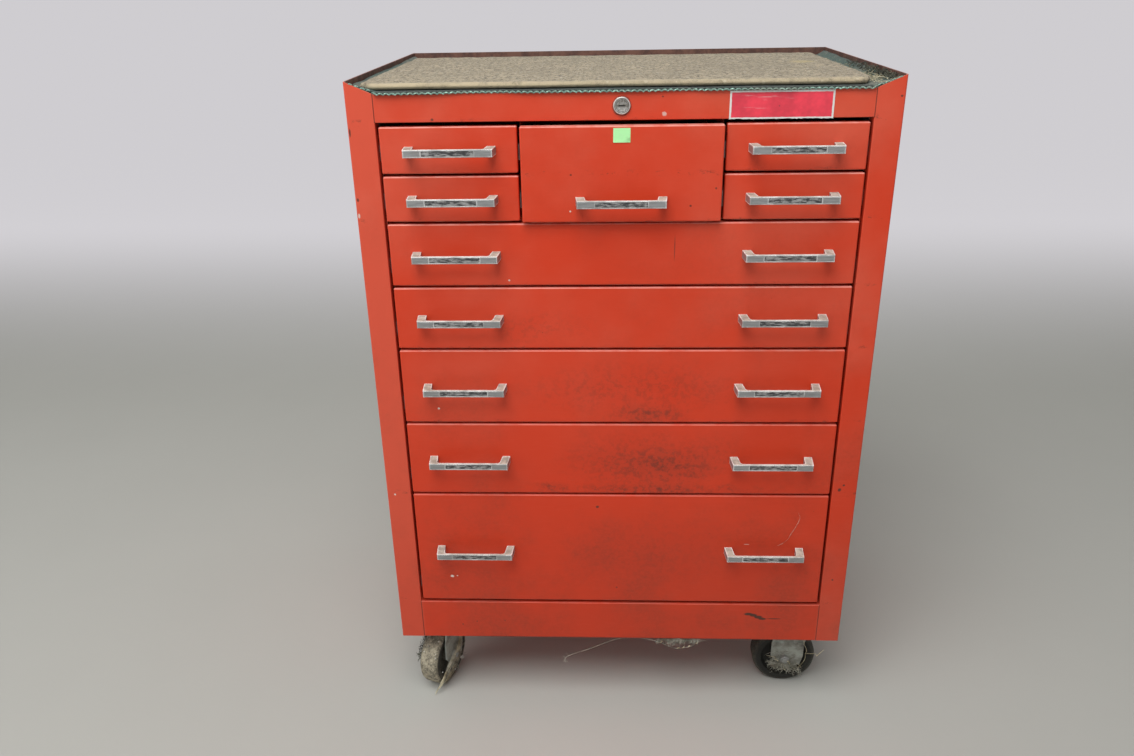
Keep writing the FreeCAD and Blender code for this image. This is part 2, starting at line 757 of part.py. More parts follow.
def all_drawers():
    """Ten drawers: a bank of five over five wide ones."""
    for number, (floor, height) in enumerate(zip(wide_floors, wide_heights), start=1):
        wide_drawer(number, floor, height)
    tray_outer = opening_half - s.slide_space - small_centre
    tray_inner = divider_outer + s.slide_space - small_centre
    pull_shift = half_width - s.pull_from_side - small_centre
    for side, side_name in ((-1, "left"), (1, "right")):
        edges = (tray_inner, tray_outer) if side > 0 else (-tray_outer, -tray_inner)
        for floor, level in zip(small_floors, ("upper", "lower")):
            bank_drawer(f"drawer_{side_name}_{level}", side * small_centre, 0, floor, small_width,
                        s.small_height, *edges, side * pull_shift, floor + s.small_height / 2)
    tray_side = divider_inner - s.slide_space
    bank_drawer("drawer_middle", as_size(0), s.middle_ajar, middle_floor, s.middle_width,
                middle_height, -tray_side, tray_side, 0,
                middle_floor + middle_height / 2 - s.middle_pull_drop)


# ---------------------------------------------------------------- lock

bar_back = s.body_depth - 4 * sheet_t
bar_front = bar_back - s.bar_sheet
disc_back = bar_front - s.bar_play
disc_front = disc_back - s.eccentric_height
pin_throw = s.bar_travel / (2 * math.sin(math.radians(45)))
pin_side = s.bar_travel / 2                             # pin beside the rod's axis at both ends
plug_back = s.lock_body_length


def lock_housing():
    """The round lock face and its body through the rail."""
    body = new_body("lock_housing", **cabinet_place)
    face = pad(body, "face", "XZ", [circle(0, lock_z, s.lock_radius)], -s.lock_face, 0)
    round_edges(body, "face_edge", face, s.lock_face * 0.4,
                lambda edge: edge_at(edge, y=-s.lock_face))
    pad(body, "barrel", "XZ", [circle(0, lock_z, s.lock_body_radius)], 0, s.lock_body_length)
    pocket(body, "bore", "XZ", [circle(0, lock_z, s.plug_radius + s.plug_play)],
           -s.lock_face - cut, s.lock_body_length + cut)
    return body


def lock_nut():
    """The hexagonal nut that clamps the lock to the rail."""
    body = new_body("lock_nut", **cabinet_place)
    ring = [hexagon(0, lock_z, s.lock_nut_width), circle(0, lock_z, s.lock_body_radius + s.plug_play)]
    pad(body, "ring", "XZ", ring, sheet_t, sheet_t + s.lock_nut_height)
    return body


def lock_plug():
    """The turning plug with its keyway."""
    body = new_body("lock_plug", **cabinet_place)
    pad(body, "plug", "XZ", [circle(0, lock_z, s.plug_radius)], -s.lock_face, plug_back)
    slot = rectangle(-s.keyway_width / 2, lock_z - s.keyway_height / 2,
                     s.keyway_width / 2, lock_z + s.keyway_height / 2)
    pocket(body, "keyway", "XZ", [slot], -s.lock_face - cut, -s.lock_face + s.keyway_depth)
    return body


def lock_rod():
    """The rod from the plug to the back, with an eccentric disc and its pin."""
    body = new_body("lock_rod", **cabinet_place)
    pad(body, "rod", "XZ", [circle(0, lock_z, s.rod_radius)], plug_back, disc_front)
    pad(body, "disc", "XZ", [circle(0, lock_z, s.eccentric_radius)], disc_front, disc_back)
    pin = circle(pin_side, lock_z + pin_side, s.crank_pin_radius)
    pad(body, "pin", "XZ", [pin], disc_back, bar_back + s.bar_play)
    return body


def lock_rod_bracket():
    """The angle under the tray that carries the rear of the rod."""
    body = new_body("lock_rod_bracket", **cabinet_place)
    back = disc_front - s.bracket_setback
    low = lock_z - s.rod_radius * 2
    half = s.rod_radius * 3
    outline = [
        (back - sheet_t, low), (back, low), (back, floor_under),
        (back - s.tray_flange, floor_under), (back - s.tray_flange, floor_under - sheet_t),
        (back - sheet_t, floor_under - sheet_t),
    ]
    pad(body, "angle", "YZ", [outline], -half, half)
    hole = circle(0, lock_z, s.rod_radius + s.plug_play)
    pocket(body, "rod_hole", "XZ", [hole], back - sheet_t - cut, back + cut)
    return body


def lock_bar():
    """The upright bar that drops a hook behind every drawer's back.

    It stands raised, unlocked. Its cross arms reach the small drawers.
    """
    body = new_body("lock_bar", **cabinet_place)
    t = s.drawer_sheet
    half = s.bar_width / 2
    hook_half = s.hook_width / 2
    tray_back = drawer_depth                            # inner face of a drawer's back
    arm_rise = s.hook_lift + s.hook_finger
    wide_tops = [floor + height - s.tray_drop for floor, height in zip(wide_floors, wide_heights)]
    small_tops = [floor + s.small_height - s.tray_drop for floor in small_floors]
    middle_top = middle_floor + middle_height - s.tray_drop
    foot = wide_tops[-1] + arm_rise - s.arm_height
    head = lock_z + s.eccentric_radius
    pad(body, "strip", "XZ", [rectangle(-half, foot, half, head)], bar_front, bar_back)
    arms = []
    for top in small_tops:
        low = top + arm_rise
        for side in (-1, 1):
            arms.append(rectangle(side * half, low, side * s.arm_span / 2, low + s.arm_height))
    pad(body, "cross_arms", "XZ", arms, bar_front, bar_back)
    slot_half_height = s.crank_pin_radius + s.bar_play
    slot = rectangle(pin_side - s.crank_pin_radius - s.bar_play, lock_z + pin_side - slot_half_height,
                     pin_throw + s.crank_pin_radius + s.bar_play, lock_z + pin_side + slot_half_height)
    pocket(body, "pin_slot", "XZ", [slot], bar_front - cut, bar_back + cut)
    reach_side = s.arm_span / 2 - s.hook_width
    hooks = [(0, top, 0) for top in wide_tops]
    hooks += [(side * reach_side, top, 0) for side in (-1, 1) for top in small_tops]
    hooks += [(0, middle_top, s.middle_ajar)]
    for number, (x, top, ajar) in enumerate(hooks, start=1):
        tip = tray_back - ajar - s.hook_clearance
        finger_front = tip - s.bar_sheet
        under = top + arm_rise
        outline = [
            (bar_front, under), (tip, under), (tip, top + s.hook_lift),
            (finger_front, top + s.hook_lift), (finger_front, under + s.bar_sheet),
            (bar_front, under + s.bar_sheet),
        ]
        middle = as_size(x)
        pad(body, f"hook_{number}", "YZ", [outline], middle - hook_half, middle + hook_half)
    return body


def lock_bar_guides():
    """Two straps on the back panel in which the lock bar slides."""
    body = new_body("lock_bar_guides", **cabinet_place)
    half = s.bar_width / 2 + s.bar_play
    outer = half + sheet_t
    foot = outer + s.guide_height / 2
    front = bar_front - s.bar_play
    outline = [
        (-foot, back_inner), (-foot, back_inner - sheet_t), (-outer, back_inner - sheet_t),
        (-outer, front - sheet_t), (outer, front - sheet_t), (outer, back_inner - sheet_t),
        (foot, back_inner - sheet_t), (foot, back_inner), (half, back_inner), (half, front),
        (-half, front), (-half, back_inner),
    ]
    for name, floor in (("low", wide_floors[3]), ("high", wide_floors[0])):
        low = floor + s.hook_width
        pad(body, name, "XY", [outline], low, low + s.guide_height)
    return body


# ---------------------------------------------------------------- casters

plate_bottom = s.base_recess - s.plate_sheet
race_bottom = plate_bottom - s.race_height
crown_top = race_bottom - s.swivel_gap
crown_under = crown_top - s.fork_sheet
axle_z = s.wheel_radius - s.body_lift
leg_inner = s.hub_width / 2 + s.wheel_gap
leg_outer = leg_inner + s.fork_sheet


def caster_plates():
    """Four plates under the base, each with its ball race and riveted kingpin."""
    body = new_body("caster_plates", **cabinet_place)
    axes = list(caster_axes().values())
    plates = [rectangle(x - s.plate_width / 2, y - s.plate_length / 2,
                        x + s.plate_width / 2, y + s.plate_length / 2) for x, y in axes]
    pad(body, "plates", "XY", plates, plate_bottom, s.base_recess)
    pocket(body, "bolt_holes", "XY", bolt_holes(), plate_bottom - cut, s.base_recess + cut)
    pad(body, "races", "XY", [circle(x, y, s.race_radius) for x, y in axes], race_bottom, plate_bottom)
    pin_end = crown_under - s.swivel_gap
    pad(body, "kingpins", "XY", [circle(x, y, s.kingpin_radius) for x, y in axes], pin_end, race_bottom)
    heads = [circle(x, y, s.kingpin_head) for x, y in axes]
    pad(body, "rivet_heads", "XY", heads, pin_end - s.fork_sheet, pin_end)
    return body


def caster_bolts():
    """Sixteen bolts with nuts that hold the plates to the base."""
    body = new_body("caster_bolts", **cabinet_place)
    nut_top = base_top + s.bolt_nut_height
    for name, axis in caster_axes().items():
        places = bolt_places(*axis)
        hexes = [hexagon(*place, s.bolt_head_width) for place in places]
        shanks = [circle(*place, s.bolt_radius) for place in places]
        pad(body, f"heads_{name}", "XY", hexes, plate_bottom - s.bolt_head_height, plate_bottom)
        pad(body, f"shanks_{name}", "XY", shanks, plate_bottom, nut_top + s.bolt_end)
        pad(body, f"nuts_{name}", "XY", hexes, base_top, nut_top)
    return body


def fork(label, place):
    """A pressed fork: crown, and two legs that trail to the axle."""
    body = new_body(label, **place)
    axle_y = -s.caster_trail
    rear = axle_y - s.leg_trail_side
    front = axle_y + s.leg_swivel_side
    bottom = axle_z - s.leg_below_axle
    leg = [
        (s.crown_radius - s.swivel_gap, crown_top),
        (rear + s.leg_below_axle / 2, crown_top),
        (rear, axle_z + s.leg_swivel_side),
        (rear, axle_z + s.leg_below_axle / 4),
        (rear + s.leg_trail_side * 0.4, axle_z - s.leg_below_axle * 0.45),
        (axle_y - s.leg_below_axle * 0.3, bottom),
        (axle_y + s.leg_below_axle * 0.6, bottom),
        (front - s.leg_swivel_side * 0.15, axle_z - s.leg_below_axle * 0.65),
        (front, axle_z + s.leg_below_axle / 4),
        (front, axle_z + s.leg_swivel_side),
        (s.crown_radius - s.swivel_gap, crown_under - s.race_height),
    ]
    blank = pad(body, "legs", "YZ", [leg], -leg_outer, leg_outer)

    def is_crown_bend(edge):
        low, high = edge_box(edge)
        straight = near(low[2], crown_top.value) and near(high[2], crown_top.value)
        return straight and near(abs(low[0]), leg_outer.value) and near(low[0], high[0])

    round_edges(body, "crown_bends", blank, s.fork_sheet, is_crown_bend)
    gap = rectangle(-leg_inner, bottom - cut, leg_inner, crown_under)
    pocket(body, "wheel_gap", "XZ", [gap], rear - cut, s.crown_radius + cut)
    pad(body, "crown", "XY", [circle(0, 0, s.crown_radius)], crown_under, crown_top)
    pocket(body, "kingpin_hole", "XY", [circle(0, 0, s.kingpin_radius + s.pin_play)],
           crown_under - cut, crown_top + cut)
    axle_hole = circle(axle_y, axle_z, s.axle_radius + s.pin_play)
    pocket(body, "axle_holes", "YZ", [axle_hole], -leg_outer - cut, leg_outer + cut)
    return body


def axle(label, place):
    """The bolt through fork and wheel, with its nut."""
    body = new_body(label, **place)
    middle = (-s.caster_trail, axle_z)
    head_end = leg_outer + s.axle_head_height
    pad(body, "shank", "YZ", [circle(*middle, s.axle_radius)], -leg_outer, head_end + s.wheel_gap * 3)
    hexes = [hexagon(*middle, s.axle_head_width)]
    pad(body, "head", "YZ", hexes, -head_end, -leg_outer)
    pad(body, "nut", "YZ", hexes, leg_outer, head_end)
    return body


def wheel(label, place):
    """A moulded wheel turned about its axle: hub, web and crowned tread."""
    body = new_body(label, **place)
    half_hub = s.hub_width / 2
    half_tread = s.wheel_width / 2
    half_web = s.web_thickness / 2
    shoulder = s.tread_shoulder
    right_side = [
        (half_hub, s.axle_radius + s.pin_play),
        (half_hub, s.hub_radius),
        (half_web, s.hub_radius + shoulder),
        (half_web, s.rim_radius - shoulder),
        (half_tread, s.rim_radius),
        (half_tread, s.wheel_radius - shoulder * 1.6),
        (half_tread - shoulder, s.wheel_radius - shoulder * 0.4),
        (half_tread - shoulder * 2, s.wheel_radius),
    ]
    outline = right_side + list(reversed(mirrored(right_side)))
    raised = [(x, axle_z + radius) for x, radius in outline]
    revolve(body, "section", [raised], -s.caster_trail, axle_z)
    return body


def all_casters():
    """Plates, bolts and four swivelling forks with their wheels."""
    caster_plates()
    caster_bolts()
    turns = {"front_left": s.angle_front_left, "front_right": s.angle_front_right,
             "rear_left": s.angle_rear_left, "rear_right": s.angle_rear_right}
    for name, (x, y) in caster_axes().items():
        place = {"x": x, "y": front_y + y, "z": s.body_lift, "turn": turns[name]}
        fork(f"fork_{name}", place)
        axle(f"axle_{name}", place)
        wheel(f"wheel_{name}", place)


# ---------------------------------------------------------------- what lies in the tray

def tray_liner():
    """A flat stand-in for the woven liner, cut out round the posts."""
    body = new_body("tray_liner", **cabinet_place)
    side = inner_half - sheet_t - s.liner_play
    front = sheet_t + s.soft_play
    back = flange_front - s.liner_play
    neck = opening_half - s.seam_gap
    outline = [
        (-side, front), (-neck, front), (-neck, -s.liner_play), (neck, -s.liner_play),
        (neck, front), (side, front), (side, back), (-side, back),
    ]
    low = floor_top + s.soft_play
    pad(body, "sheet", "XY", [outline], low, low + s.liner_thickness)
    return body


def top_pad():
    """The worn pad on the liner, rounded along its edges."""
    body = new_body("top_pad", **cabinet_place)
    low = floor_top + 2 * s.soft_play + s.liner_thickness
    high = low + s.pad_thickness
    outline = rectangle(-half_width + s.pad_inset_left, s.pad_inset_front,
                        half_width - s.pad_inset_right, s.body_depth - s.pad_inset_back)
    block = pad(body, "block", "XY", [outline], low, high)
    round_edges(body, "soft_edges", block, s.pad_thickness * 0.4, lambda edge: edge_at(edge, z=high))
    return body


# ---------------------------------------------------------------- build and export

def build():
    """Make every piece."""
    side_panel("side_panel_left", -1)
    side_panel("side_panel_right", 1)
    back_panel()
    top_tray()
    front_top_rail()
    front_bottom_rail()
    base_pan()
    slide_uprights()
    bank_shelf()
    bank_dividers()
    slide_channels()
    all_drawers()
    lock_housing()
    lock_nut()
    lock_plug()
    lock_rod()
    lock_rod_bracket()
    lock_bar()
    lock_bar_guides()
    all_casters()
    tray_liner()
    top_pad()
    doc.recompute()


def check():
    """Stop at the first object that failed or holds no valid solid."""
    for item in doc.Objects:
        if "Invalid" in item.State or "Error" in item.State:
            raise RuntimeError(f"{item.Label} failed: {item.State}")
    for body in doc.findObjects("PartDesign::Body"):
        shape = body.Shape
        if shape.isNull() or not shape.isValid() or not shape.Solids:
            raise RuntimeError(f"{body.Label} holds no valid solid")


def export():
    """Write one STEP file for each body."""
    os.makedirs("parts", exist_ok=True)
    for body in doc.findObjects("PartDesign::Body"):
        body.Shape.exportStep(os.path.join("parts", f"{body.Label}.step"))


build()
check()
export()
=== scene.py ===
import json
import math
import random
from functools import cached_property

import bmesh
import bpy
from bpy.props import FloatProperty, FloatVectorProperty, IntProperty, PointerProperty
from mathutils import Matrix, Vector, noise


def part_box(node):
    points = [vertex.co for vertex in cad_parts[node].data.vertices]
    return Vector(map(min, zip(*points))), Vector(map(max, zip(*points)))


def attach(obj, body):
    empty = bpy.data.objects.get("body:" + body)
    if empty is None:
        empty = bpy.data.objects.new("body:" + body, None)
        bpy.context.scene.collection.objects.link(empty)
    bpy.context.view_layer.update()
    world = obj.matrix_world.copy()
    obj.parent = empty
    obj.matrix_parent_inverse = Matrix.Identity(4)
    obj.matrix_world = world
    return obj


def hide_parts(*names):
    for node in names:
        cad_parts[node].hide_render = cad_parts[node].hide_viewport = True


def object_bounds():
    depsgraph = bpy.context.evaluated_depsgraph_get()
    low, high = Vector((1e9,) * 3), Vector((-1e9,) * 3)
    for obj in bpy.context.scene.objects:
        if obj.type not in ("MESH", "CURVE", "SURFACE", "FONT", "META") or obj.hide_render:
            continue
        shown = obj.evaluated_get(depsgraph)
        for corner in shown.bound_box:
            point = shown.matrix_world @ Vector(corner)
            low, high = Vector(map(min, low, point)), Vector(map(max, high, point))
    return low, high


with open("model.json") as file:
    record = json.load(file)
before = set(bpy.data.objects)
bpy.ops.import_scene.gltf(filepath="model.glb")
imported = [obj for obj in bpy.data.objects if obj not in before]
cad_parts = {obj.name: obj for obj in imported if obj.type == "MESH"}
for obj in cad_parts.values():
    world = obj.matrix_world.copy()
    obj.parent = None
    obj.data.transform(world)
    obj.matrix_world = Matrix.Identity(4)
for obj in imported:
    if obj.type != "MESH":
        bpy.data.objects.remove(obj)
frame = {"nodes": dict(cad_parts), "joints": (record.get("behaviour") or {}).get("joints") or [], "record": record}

bl_info = {
    "name": "Roller Tool Cabinet Finish",
    "version": (1, 0, 0),
    "blender": (4, 5, 0),
    "location": "View3D > Sidebar > Cabinet",
    "description": "Finishes, top liner, pad, stickers, lint and stage of a roller tool cabinet",
    "category": "Object",
}

CAD_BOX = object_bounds()
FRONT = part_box("front_top_rail")[0][1]
SEED = 4127
MM = 0.001
FREE = math.inf
FACE_DEPTH = FRONT + 2.3 * MM


# ---------------------------------------------------------------- settings

def tint(name, description, default):
    """A colour setting."""
    return FloatVectorProperty(name=name, description=description, subtype="COLOR", size=3,
                               min=0.0, max=1.0, default=default)


def measure(name, description, default, unit="LENGTH", least=0.0):
    """A setting with a unit."""
    return FloatProperty(name=name, description=description, unit=unit, min=least, default=default)


def turn(name, description, degrees):
    """An angle setting."""
    return FloatProperty(name=name, description=description, subtype="ANGLE",
                         default=math.radians(degrees))


class EnamelSettings(bpy.types.PropertyGroup):
    """The worn enamel of the shell and the drawers."""
    color: tint("Enamel", "Clean enamel", (0.69, 0.047, 0.0125))
    faded: tint("Faded", "Chalky enamel", (0.76, 0.13, 0.075))
    soil: tint("Soil", "Oily dirt", (0.085, 0.035, 0.02))
    edge: tint("Edges", "Rubbed edges", (0.72, 0.36, 0.26))
    soil_amount: FloatProperty(name="Soil amount", description="How dirty the foot is",
                               min=0.0, max=1.0, default=0.4, subtype="FACTOR")
    edge_width: measure("Edge width", "Width of the rubbed edges", 0.0011)


class MetalSettings(bpy.types.PropertyGroup):
    """Pulls, lock, slides and casters."""
    pull: tint("Pulls", "Bright die-cast pulls", (0.33, 0.335, 0.335))
    inlay: tint("Inlays", "Black strips in the pulls", (0.03, 0.03, 0.032))
    zinc: tint("Zinc", "Plated steel", (0.42, 0.42, 0.41))
    fork: tint("Forks", "Grey caster forks", (0.4, 0.42, 0.37))
    rubber: tint("Rubber", "Wheels", (0.022, 0.022, 0.02))
    dust: tint("Dust", "Floor dust on the wheels", (0.48, 0.43, 0.32))
    inlay_sink: measure("Inlay sink", "Inlay below the face of the bar", 0.00025)


class TopSettings(bpy.types.PropertyGroup):
    """The liner, the pad and what lies on them."""
    liner: tint("Liner", "Green mesh liner", (0.055, 0.15, 0.11))
    liner_edge: tint("Liner edge", "Scalloped edge", (0.5, 0.85, 0.7))
    pad: tint("Pad", "Tan fibre pad", (0.5, 0.405, 0.26))
    pad_soil: tint("Pad soil", "Dirt in the pad", (0.1, 0.075, 0.045))
    pad_edge: tint("Pad edge", "Paler front edge", (0.64, 0.53, 0.345))
    scallop: measure("Scallop", "Pitch of the scallops", 0.00735, least=0.001)
    straws: IntProperty(name="Straws", description="Straws in the tray's corner", min=0, default=120)


class StickerSettings(bpy.types.PropertyGroup):
    """The bare badge and the bare label."""
    badge: tint("Badge", "Red foil of the badge", (0.97, 0.06, 0.1))
    foil: tint("Foil", "Silver rim of the badge", (0.78, 0.78, 0.75))
    label: tint("Label", "Green paper label", (0.48, 0.98, 0.44))
    badge_rim: measure("Badge rim", "Width of the badge's rim", 0.0022)


class StageSettings(bpy.types.PropertyGroup):
    """Floor, light and camera."""
    floor: tint("Floor", "Pale floor", (0.5, 0.5, 0.462))
    backdrop: tint("Backdrop", "Pale ground far behind", (0.6, 0.585, 0.61))
    sky_strength: FloatProperty(name="Sky", description="Even light all round", min=0.0, default=0.35)
    key_power: measure("Key light", "Large lamp above the front", 82.0, "POWER")
    fill_power: measure("Fill light", "Lamp at the left", 16.0, "POWER")
    lens: FloatProperty(name="Lens", description="Focal length", min=1.0, default=29.258)
    camera_place: FloatVectorProperty(name="Camera", description="Place of the camera", size=3,
                                      subtype="TRANSLATION", unit="LENGTH",
                                      default=(-0.01944, -1.38312, 1.08746))
    yaw: turn("Yaw", "Camera turn to the left", 2.64)
    pitch: turn("Pitch", "Camera tilt down", 23.558)
    roll: turn("Roll", "Camera roll", -1.063)


class CabinetSettings(bpy.types.PropertyGroup):
    """All settings of the cabinet's finish."""
    enamel: PointerProperty(type=EnamelSettings, name="Enamel", description="Shell and drawers")
    metal: PointerProperty(type=MetalSettings, name="Metal", description="Pulls, lock and casters")
    top: PointerProperty(type=TopSettings, name="Top", description="Liner and pad")
    sticker: PointerProperty(type=StickerSettings, name="Stickers", description="Badge and label")
    stage: PointerProperty(type=StageSettings, name="Stage", description="Floor, light and camera")


# ---------------------------------------------------------------- shader helpers

class Value:
    """A node's output that takes part in arithmetic: each sign makes one math node."""

    def __init__(self, graph, socket):
        self.graph = graph
        self.socket = socket

    def __add__(self, other):
        return self.graph.math("ADD", self, other)

    def __sub__(self, other):
        return self.graph.math("SUBTRACT", self, other)

    def __rsub__(self, other):
        return self.graph.math("SUBTRACT", other, self)

    def __mul__(self, other):
        return self.graph.math("MULTIPLY", self, other)

    def __truediv__(self, other):
        return self.graph.math("DIVIDE", self, other)

    def __lt__(self, other):
        return self.graph.math("LESS_THAN", self, other)

    def __gt__(self, other):
        return self.graph.math("GREATER_THAN", self, other)

    def __abs__(self):
        return self.graph.math("ABSOLUTE", self)

    def root(self):
        """The square root."""
        return self.graph.math("SQRT", self)

    def most(self, other):
        """The larger of two values."""
        return self.graph.math("MAXIMUM", self, other)

    def least(self, other):
        """The smaller of two values."""
        return self.graph.math("MINIMUM", self, other)

    def clamped(self):
        """The same math node, held between 0 and 1."""
        self.socket.node.use_clamp = True
        return self


class Graph:
    """A short way to build a node tree."""

    def __init__(self, tree, material=None):
        self.tree = tree
        self.material = material

    def node(self, kind, **settings):
        """A new node with its properties set."""
        made = self.tree.nodes.new(kind)
        for name, value in settings.items():
            setattr(made, name, value)
        return made

    def feed(self, socket, value):
        """Link a socket to an input, or set the input's plain value."""
        if isinstance(value, Value):
            value = value.socket
        if isinstance(value, bpy.types.NodeSocket):
            self.tree.links.new(value, socket)
        elif isinstance(value, (int, float)):
            socket.default_value = value
        else:
            socket.default_value = (*value[:3], 1.0) if socket.type == "RGBA" else tuple(value)

    def joined(self, made, values, output=0):
        """Feed a node's first inputs in order and give one output."""
        for socket, value in zip(made.inputs, values):
            self.feed(socket, value)
        return Value(self, made.outputs[output])

    def math(self, operation, first, second=0.0):
        """One math node."""
        return self.joined(self.node("ShaderNodeMath", operation=operation), (first, second, 0.0))

    def vector_math(self, operation, first, second=(0.0, 0.0, 0.0), output="Value"):
        """One vector math node."""
        made = self.node("ShaderNodeVectorMath", operation=operation)
        return self.joined(made, (first, second), output)

    def ramp(self, value, low, high, to_low=0.0, to_high=1.0):
        """Smooth step of a value from low..high to to_low..to_high."""
        made = self.node("ShaderNodeMapRange", interpolation_type="SMOOTHSTEP")
        return self.joined(made, (value, low, high, to_low, to_high))

    def mix(self, factor, first, second):
        """Mix two colours."""
        made = self.node("ShaderNodeMix", data_type="RGBA", blend_type="MIX")
        for socket, item in zip((made.inputs["Factor"], *made.inputs[6:8]), (factor, first, second)):
            self.feed(socket, item)
        return Value(self, made.outputs[2])

    def coats(self, color, *coats):
        """Lay coats over a colour, each given by its mask and its colour."""
        for mask, coat in coats:
            color = self.mix(mask, color, coat)
        return color

    def blend(self, factor, first, second):
        """Mix two numbers."""
        made = self.node("ShaderNodeMix", data_type="FLOAT")
        for socket, item in zip(made.inputs[:1] + made.inputs[2:4], (factor, first, second)):
            self.feed(socket, item)
        return Value(self, made.outputs[0])

    @cached_property
    def place(self):
        """The point in the object's own space."""
        return Value(self, self.node("ShaderNodeTexCoord").outputs["Object"])

    @cached_property
    def parts(self):
        """The point's X, Y and Z."""
        return self.split(self.place)

    @cached_property
    def upward(self):
        """How far a face looks up."""
        return self.split(self.node("ShaderNodeNewGeometry").outputs["Normal"])[2]

    @cached_property
    def seen(self):
        """1 where the camera looks, also by way of gloss and glass."""
        path = self.node("ShaderNodeLightPath").outputs
        gloss = Value(self, path["Is Glossy Ray"]).most(path["Is Transmission Ray"])
        return Value(self, path["Is Camera Ray"]).most(gloss)

    def split(self, vector):
        """The three parts of a vector."""
        made = self.node("ShaderNodeSeparateXYZ")
        self.feed(made.inputs[0], vector)
        return [Value(self, part) for part in made.outputs]

    def stretch(self, scale):
        """The point scaled per axis."""
        made = self.node("ShaderNodeMapping", vector_type="POINT")
        self.feed(made.inputs["Vector"], self.place)
        made.inputs["Scale"].default_value = scale
        return Value(self, made.outputs[0])

    def cloud(self, scale, detail=4.0, roughness=0.55, stretch=None):
        """Fractal noise over the object, 0 to 1."""
        made = self.node("ShaderNodeTexNoise")
        place = self.stretch(stretch) if stretch else self.place
        for name, value in (("Vector", place), ("Scale", scale), ("Detail", detail),
                            ("Roughness", roughness)):
            self.feed(made.inputs[name], value)
        return Value(self, made.outputs["Fac"])

    def cells(self, vector, scale):
        """Voronoi distance and cell colour."""
        made = self.node("ShaderNodeTexVoronoi", feature="F1")
        self.feed(made.inputs["Vector"], vector)
        self.feed(made.inputs["Scale"], scale)
        return Value(self, made.outputs["Distance"]), Value(self, made.outputs["Color"])

    def bump(self, height, distance, strength):
        """A bumped normal."""
        made = self.node("ShaderNodeBump")
        self.feed(made.inputs["Height"], height)
        made.inputs["Distance"].default_value = distance
        made.inputs["Strength"].default_value = strength
        return Value(self, made.outputs[0])

    def mask(self, name, **values):
        """The mask of a shared group, which is built at its first use."""
        group = bpy.data.node_groups.get(name) or build_group(name)
        made = self.node("ShaderNodeGroup", node_tree=group)
        for label, value in values.items():
            self.feed(made.inputs[label], value)
        return Value(self, made.outputs["Mask"])

    def surface(self, **sockets):
        """Feed the material's shader, and give the material."""
        shader = self.tree.nodes["Principled BSDF"]
        for name, value in sockets.items():
            self.feed(shader.inputs[name.replace("_", " ")], value)
        return self.material


GROUPS = {}


def mask_group(name, **inputs):
    """Keep a function as the recipe of a shared group with those inputs and one mask."""
    def keep(recipe):
        GROUPS[name] = (recipe, inputs)
        return recipe
    return keep


def build_group(name):
    """Build a shared group from its recipe."""
    recipe, inputs = GROUPS[name]
    tree = bpy.data.node_groups.new(name, "ShaderNodeTree")
    for label, default in inputs.items():
        kind = "NodeSocketFloat" if isinstance(default, float) else "NodeSocketVector"
        socket = tree.interface.new_socket(name=label, in_out="INPUT", socket_type=kind)
        socket.default_value = default
    tree.interface.new_socket(name="Mask", in_out="OUTPUT", socket_type="NodeSocketFloat")
    graph = Graph(tree)
    entry = graph.node("NodeGroupInput").outputs
    mask = recipe(graph, *(Value(graph, entry[label]) for label in inputs))
    graph.feed(graph.node("NodeGroupOutput").inputs["Mask"], mask)
    return tree


def new_material(name):
    """The graph of a new material that has only a Principled shader and its output."""
    material = bpy.data.materials.new(name)
    material.use_nodes = True
    return Graph(material.node_tree, material)


def shaded(color, share):
    """A darker tone of a colour."""
    return [share * part for part in color]


# ---------------------------------------------------------------- shared masks

# Rubbed edges on the enamel and the forks; on the pulls it places a painted highlight along the edges.
@mask_group("Worn edges and painted highlight", Width=0.001, Breaks=60.0)
def worn_edges_and_highlight(graph, width, breaks):
    """Outer edges, broken up by noise."""
    rounded = graph.node("ShaderNodeBevel", samples=6)
    graph.feed(rounded.inputs["Radius"], width)
    flat = graph.node("ShaderNodeNewGeometry").outputs["Normal"]
    edge = graph.ramp(graph.vector_math("DOT_PRODUCT", rounded.outputs[0], flat), 0.998, 0.9)
    return edge * graph.ramp(graph.cloud(breaks), 0.42, 0.6, 0.25, 1.0)


@mask_group("Workshop soil", Amount=0.4)
def workshop_soil(graph, amount):
    """Oily dirt, heavier towards the foot and in patches."""
    low = graph.ramp(graph.parts[2], 0.95, 0.15, 0.25, 1.0)
    patches = graph.ramp(graph.cloud(7.0, 6.0, 0.62), 0.42, 0.74)
    fine = graph.ramp(graph.cloud(190.0, 3.0, 0.7), 0.3, 0.75, 0.45, 1.0)
    film = graph.ramp(graph.cloud(2.2, 2.0), 0.3, 0.75, 0.12, 0.4)
    return ((patches * fine + film) * low * amount).clamped()


@mask_group("Specks", Scale=40.0, Size=0.06, Share=0.3)
def specks(graph, scale, size, share):
    """Small random dots."""
    distance, color = graph.cells(graph.place, scale)
    chance, spread, _ = graph.split(color)
    return (distance < spread * size) * (chance < share)


@mask_group("Front mark", X=0.0, Z=0.0, Wide=0.01, High=0.01, Ragged=0.5, Grain=120.0, Soft=0.55,
            Mottle=0.0)
def front_mark(graph, middle_x, middle_z, wide, high, ragged, grain, soft, mottle):
    """One ragged mark on the front, round a point."""
    x, y, z = graph.parts
    across = (x - middle_x) / wide
    upward = (z - middle_z) / high
    reach = (across * across + upward * upward).root() + (graph.cloud(grain, 5.0, 0.65) - 0.5) * ragged
    body = graph.ramp(reach, 1.0, soft) * (y < FACE_DEPTH)
    dabs = graph.ramp(graph.cloud(95.0, 8.0, 0.78), 0.46, 0.6)
    return body * graph.blend(mottle, 1.0, dabs)


